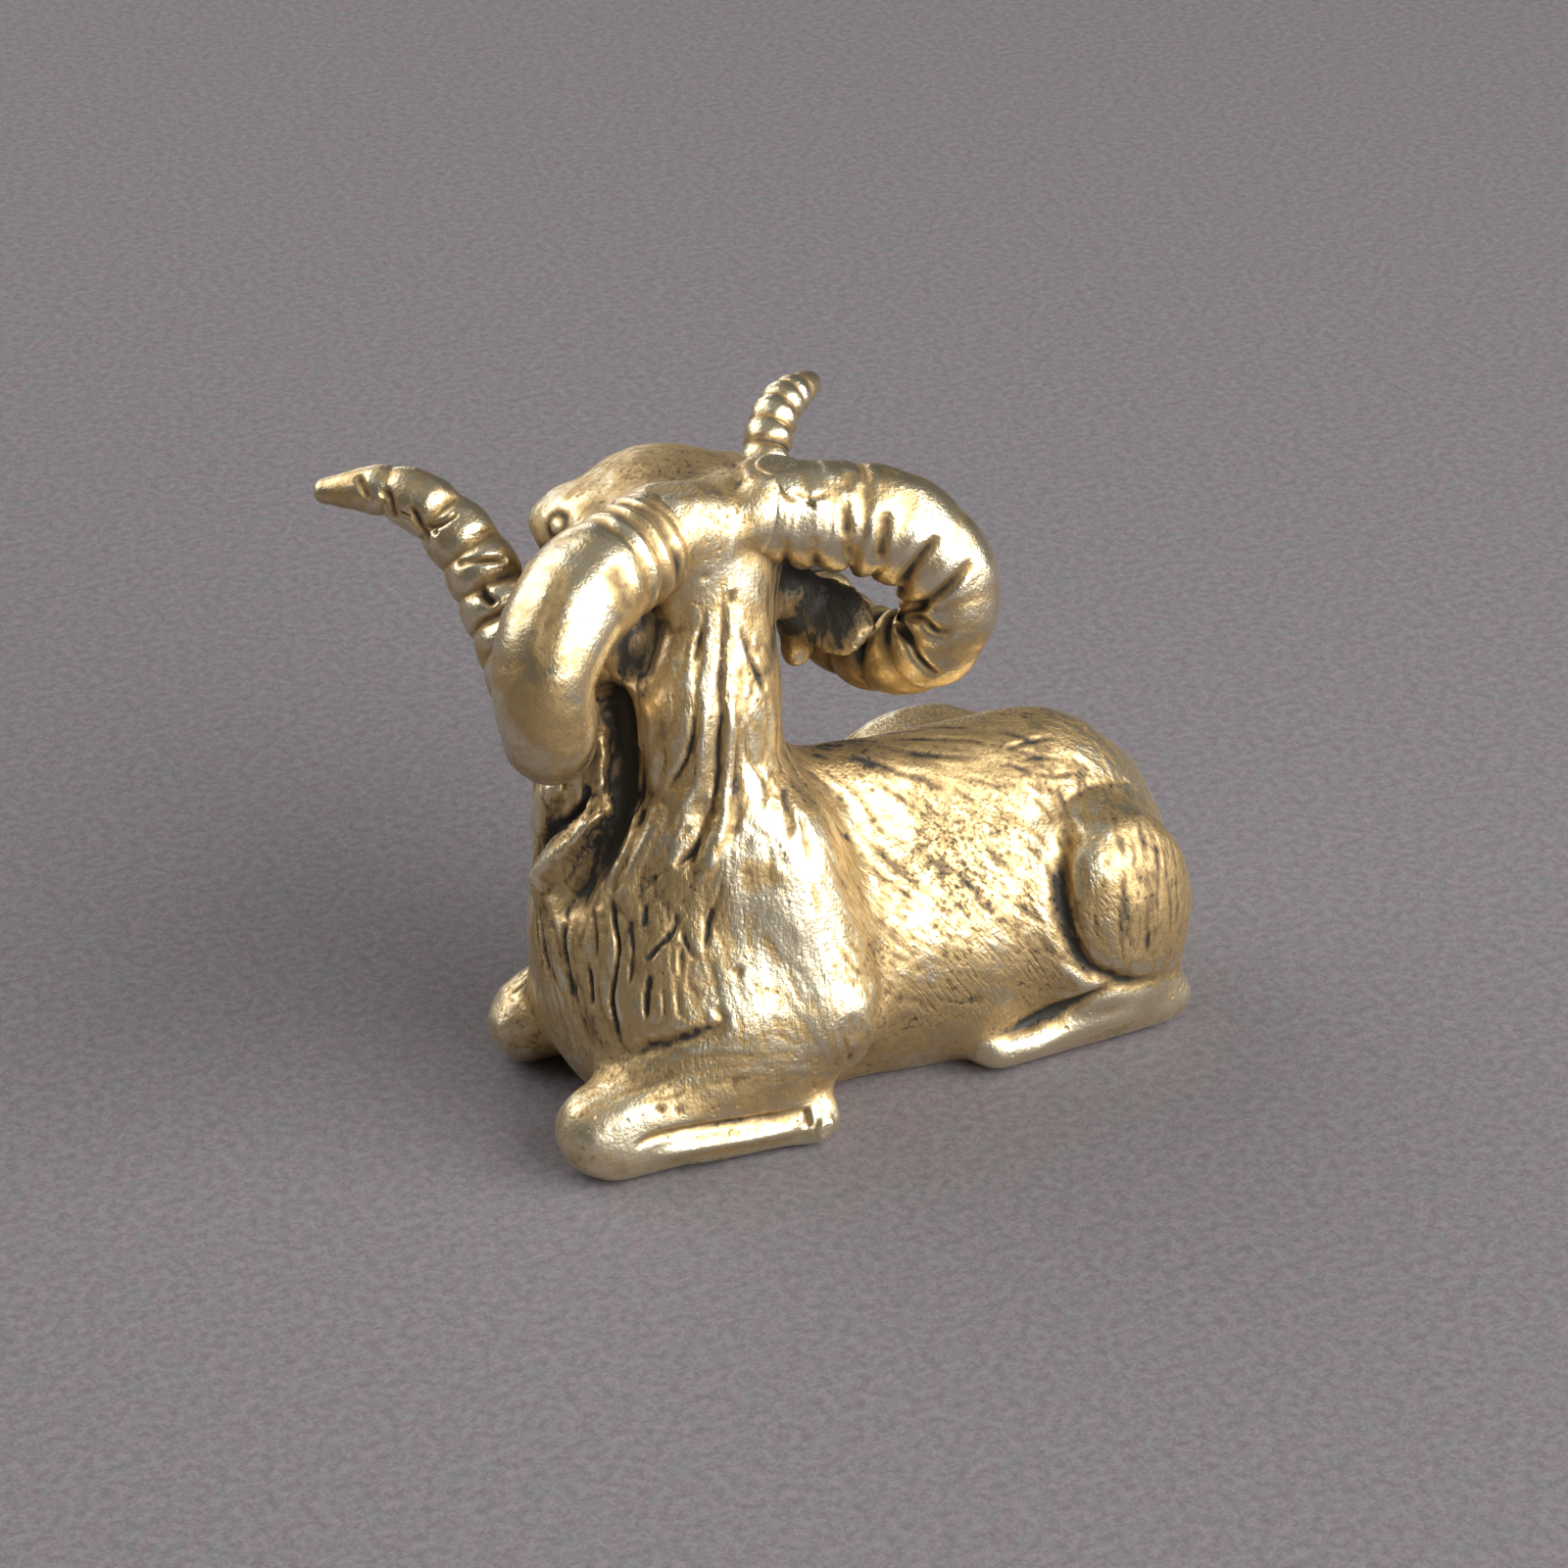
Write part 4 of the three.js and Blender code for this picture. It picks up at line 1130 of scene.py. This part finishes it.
# Look of the metal: its colours from rubbed bright to black, and the darkness, from patina, dirt
# and painted shade, between which each goes over into the next
METAL = [
    (0.88, 0.77, 0.54, 1), (0.60, 0.425, 0.2, 1), (0.26, 0.175, 0.083, 1),
    (0.042, 0.038, 0.03, 1),
]
METAL_TURNS = [(-0.08, 0.30), (0.26, 0.68), (0.62, 1.05)]
# Lumps per metre in the metal's and the paper's textures
BROAD, PATCHY, SPECKLED, FINE, PITTED, COMBED = 170.0, 900.0, 2600.0, 5200.0, 1700.0, 4800.0
BLOTCHED, HUED = 1700.0, 700.0
# Hair in the brass: how much longer than wide, its turn on the flanks and its shift there
HAIR_LENGTH, FLANK_TURN, FLANK_SHIFT = 6.5, 0.58, 0.3
# Paper, rosy in places and grey in others: each from dark to light
ROSY = (0.155, 0.13, 0.142, 1), (0.238, 0.208, 0.222, 1)
GREY = (0.144, 0.137, 0.143, 1), (0.22, 0.212, 0.218, 1)
FLOOR_SIZE = 3
# The room round the lights: its colour, and its strength from the walls to overhead
ROOM_COLOUR = (1, 0.98, 0.97, 1)
ROOM_STRENGTH, ROOM_EDGE = (0.12, 0.25), (0.6, 0.95)
# Soft lights: name, azimuth and height in degrees, distance, width, height and brightness
LIGHTS = [
    ("right", 123, 28, 0.55, 0.72, 0.54, 5.0),
    ("left", -52, 38, 0.55, 0.62, 0.5, 2.1),
    ("low", -103, 12, 0.55, 0.2, 0.14, 2.4),
]
LIT_HEIGHT = 0.015


class Nodes:
    """Short ways to add and join shader nodes."""

    def __init__(self, made):
        made.use_nodes = True
        self.tree = made.node_tree

    def add(self, kind, **settings):
        node = self.tree.nodes.new(kind)
        for key, value in settings.items():
            if key in node.inputs:
                self.put(node.inputs[key], value)
            else:
                setattr(node, key, value)
        return node

    def put(self, socket, value):
        if isinstance(value, bpy.types.NodeSocket):
            self.tree.links.new(value, socket)
        else:
            socket.default_value = value

    def maths(self, operation, a, b):
        node = self.tree.nodes.new("ShaderNodeMath")
        node.operation = operation
        self.put(node.inputs[0], a)
        self.put(node.inputs[1], b)
        return node.outputs[0]

    def times(self, a, b):
        return self.maths("MULTIPLY", a, b)

    def total(self, first, *rest):
        """The first value and all the others, each times its share."""
        for value, share in rest:
            first = self.maths("ADD", first, self.times(value, share))
        return first

    def centred(self, value):
        return self.maths("SUBTRACT", value, 0.5)

    def mix(self, share, a, b):
        node = self.tree.nodes.new("ShaderNodeMix")
        node.data_type = "RGBA"
        self.put(node.inputs["Factor"], share)
        self.put(node.inputs["A"], a)
        self.put(node.inputs["B"], b)
        return node.outputs["Result"]

    def attribute(self, name):
        return self.add("ShaderNodeAttribute", attribute_name=name).outputs["Fac"]

    def place(self, kind="Object"):
        return self.add("ShaderNodeTexCoord").outputs[kind]

    def cloud(self, place, scale, detail=4.0, rough=0.55):
        noise_node = self.add(
            "ShaderNodeTexNoise", Vector=place, Scale=scale, Detail=detail, Roughness=rough
        )
        return noise_node.outputs["Fac"]

    def remap(self, value, low, high, to_low=0.0, to_high=1.0):
        node = self.tree.nodes.new("ShaderNodeMapRange")
        node.interpolation_type = "SMOOTHSTEP"
        for socket, number in zip(node.inputs, (value, low, high, to_low, to_high)):
            self.put(socket, number)
        return node.outputs[0]

    def surface(self, values):
        """Gives the shader its values, by the names of its inputs."""
        shader = self.tree.nodes["Principled BSDF"]
        for key, value in values.items():
            self.put(shader.inputs[key], value)


def combed(n, place, turn, shift):
    """Noise drawn out along the hair."""
    mapping = n.add(
        "ShaderNodeMapping", vector_type="TEXTURE", Vector=place, Rotation=(0, turn, 0),
        Location=(shift, 0, 0), Scale=(1.0, 1.0, HAIR_LENGTH),
    )
    return n.cloud(mapping.outputs["Vector"], COMBED, 2.0, 0.5)


def brass(name, roughness, worn):
    """Brass with a brown film, patina in its hollows, painted shade and painted highlights and,
    where it is worn, specks.
    """
    made = bpy.data.materials.new(name)
    n = Nodes(made)
    place = n.place()
    broad, patchy = n.cloud(place, BROAD), n.cloud(place, PATCHY, 5.0, 0.65)
    specks, fine = n.cloud(place, SPECKLED, 3.0, 0.6), n.cloud(place, FINE, 2.0)
    pits = n.add("ShaderNodeTexVoronoi", Vector=place, Scale=PITTED).outputs["Distance"]
    pit = n.times(n.remap(pits, 0.3, 0.08), n.remap(patchy, 0.46, 0.6))
    patina_and_light, hair, slope = (n.attribute(key) for key in ("patina_shade_sheen", "hair", "slope"))
    straight, slanted = combed(n, place, 0, 0), combed(n, place, FLANK_TURN, FLANK_SHIFT)
    stroke = n.times(n.remap(n.mix(slope, straight, slanted), 0.47, 0.7), hair)
    stroke = n.times(stroke, n.remap(broad, 0.36, 0.58, 0.3, 1.0))
    speck = n.times(n.remap(specks, 0.54, 0.64), n.remap(broad, 0.46, 0.62))
    # darkness of the colour: patina, dirt, painted shade and painted highlights from the mesh, with
    # hair strokes, specks, pits and random tone
    dark_share = n.total(
        patina_and_light, (stroke, 0.35), (speck, 0.36 * worn), (pit, 0.26 * worn),
        (n.centred(patchy), 0.8), (n.centred(broad), 0.9),
    )
    colour = METAL[0]
    for darker, turn in zip(METAL[1:], METAL_TURNS):
        colour = n.mix(n.remap(dark_share, *turn), colour, darker)
    height = n.total(
        n.times(fine, 0.7), (patchy, 1.0), (pit, -0.9 * worn), (stroke, -0.8),
        (speck, -0.5 * worn), (specks, 0.5),
    )
    bump = n.add("ShaderNodeBump", Strength=0.6, Distance=0.00005, Height=height)
    n.surface({
        "Base Color": colour,
        "Metallic": n.remap(dark_share, 0.05, 1.0, 1.0, 0.4),
        "Roughness": n.total(n.remap(dark_share, 0.0, 0.6, roughness, 0.56), (n.centred(patchy), 0.25)),
        "Normal": bump.outputs["Normal"],
    })
    return made


def make_goat_body(solids):
    """Torso, legs, neck and head in one skin, as the casting is."""
    body, cuts, hair, dirt_shade_sheen = shape_body()
    patina_shade_sheen = patina_shade_sheen_of(body, cuts, dirt_shade_sheen, solids)
    attributes = {"patina_shade_sheen": patina_shade_sheen, "hair": hair, "slope": slope_of(body)}
    made = to_object("goat_body", body, attributes, "body_casting", BODY_INSET)
    made.data.materials.append(brass("brass_cast", 0.36, 1.0))


def make_horns(solids):
    """Both horns, a little more polished than the body."""
    polished = brass("brass_horn", 0.29, 0.3)
    for name, side in (("left", LEFT_SIDE), ("right", RIGHT_SIDE)):
        horn, depth, dirt_shade_sheen = shape_horn(side)
        patina_shade_sheen = patina_shade_sheen_of(horn, np.clip(depth, 0, 1) * 1.2, dirt_shade_sheen, solids)
        attributes = {"patina_shade_sheen": patina_shade_sheen, "hair": 0 * depth, "slope": 0 * depth}
        made = to_object(
            f"goat_{name}_horn", horn, attributes, f"{name}_horn", HORN_INSET
        )
        made.data.materials.append(polished)


def dress_dowels():
    """The dowels keep their solids and get plain brass."""
    plain = brass("brass_rod", 0.34, 0.5)
    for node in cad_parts.values():
        for slot in node.material_slots:
            slot.material = plain


def make_room():
    """A dim room, a little lighter overhead."""
    room = bpy.data.worlds.new("studio")
    SCENE.world = room
    n = Nodes(room)
    split = n.add("ShaderNodeSeparateXYZ", Vector=n.place("Generated"))
    background = n.tree.nodes["Background"]
    strength = n.remap(split.outputs["Z"], *ROOM_EDGE, *ROOM_STRENGTH)
    n.put(background.inputs["Strength"], strength)
    n.put(background.inputs["Color"], ROOM_COLOUR)


def make_floor():
    """Fibrous paper under the goat."""
    bpy.ops.mesh.primitive_plane_add(size=FLOOR_SIZE)
    floor = bpy.context.object
    floor.name = "floor"
    paper = bpy.data.materials.new("paper")
    n = Nodes(paper)
    place = n.place()
    blotch, grain = n.cloud(place, BLOTCHED, 4.0, 0.6), n.cloud(place, FINE, 2.0, 0.5)
    hue = n.cloud(place, HUED, 3.0, 0.5)
    tone = n.remap(n.total(n.times(blotch, 0.6), (grain, 0.4)), 0.35, 0.65)
    colour = n.mix(n.remap(hue, 0.4, 0.6), n.mix(tone, *ROSY), n.mix(tone, *GREY))
    n.surface({"Base Color": colour, "Roughness": 0.95})
    floor.data.materials.append(paper)


def softbox(name, azimuth, height, distance, width, tall, brightness):
    """A rectangular light, turned to the goat."""
    light = bpy.data.objects.new(name, bpy.data.lights.new(name, "AREA"))
    light.data.shape = "RECTANGLE"
    light.data.size, light.data.size_y = width, tall
    light.data.energy = brightness * math.pi * width * tall
    SCENE.collection.objects.link(light)
    azimuth, height = math.radians(azimuth), math.radians(height)
    way = Vector((
        math.cos(azimuth) * math.cos(height), math.sin(azimuth) * math.cos(height),
        math.sin(height),
    ))
    light.location = Vector((0, 0, LIT_HEIGHT)) + way * distance
    light.rotation_euler = way.to_track_quat("Z", "Y").to_euler()


make_camera()
solids = solids_tree()
make_goat_body(solids)
make_horns(solids)
dress_dowels()
make_room()
make_floor()
for light in LIGHTS:
    softbox(*light)
SCENE.view_settings.view_transform = "Standard"
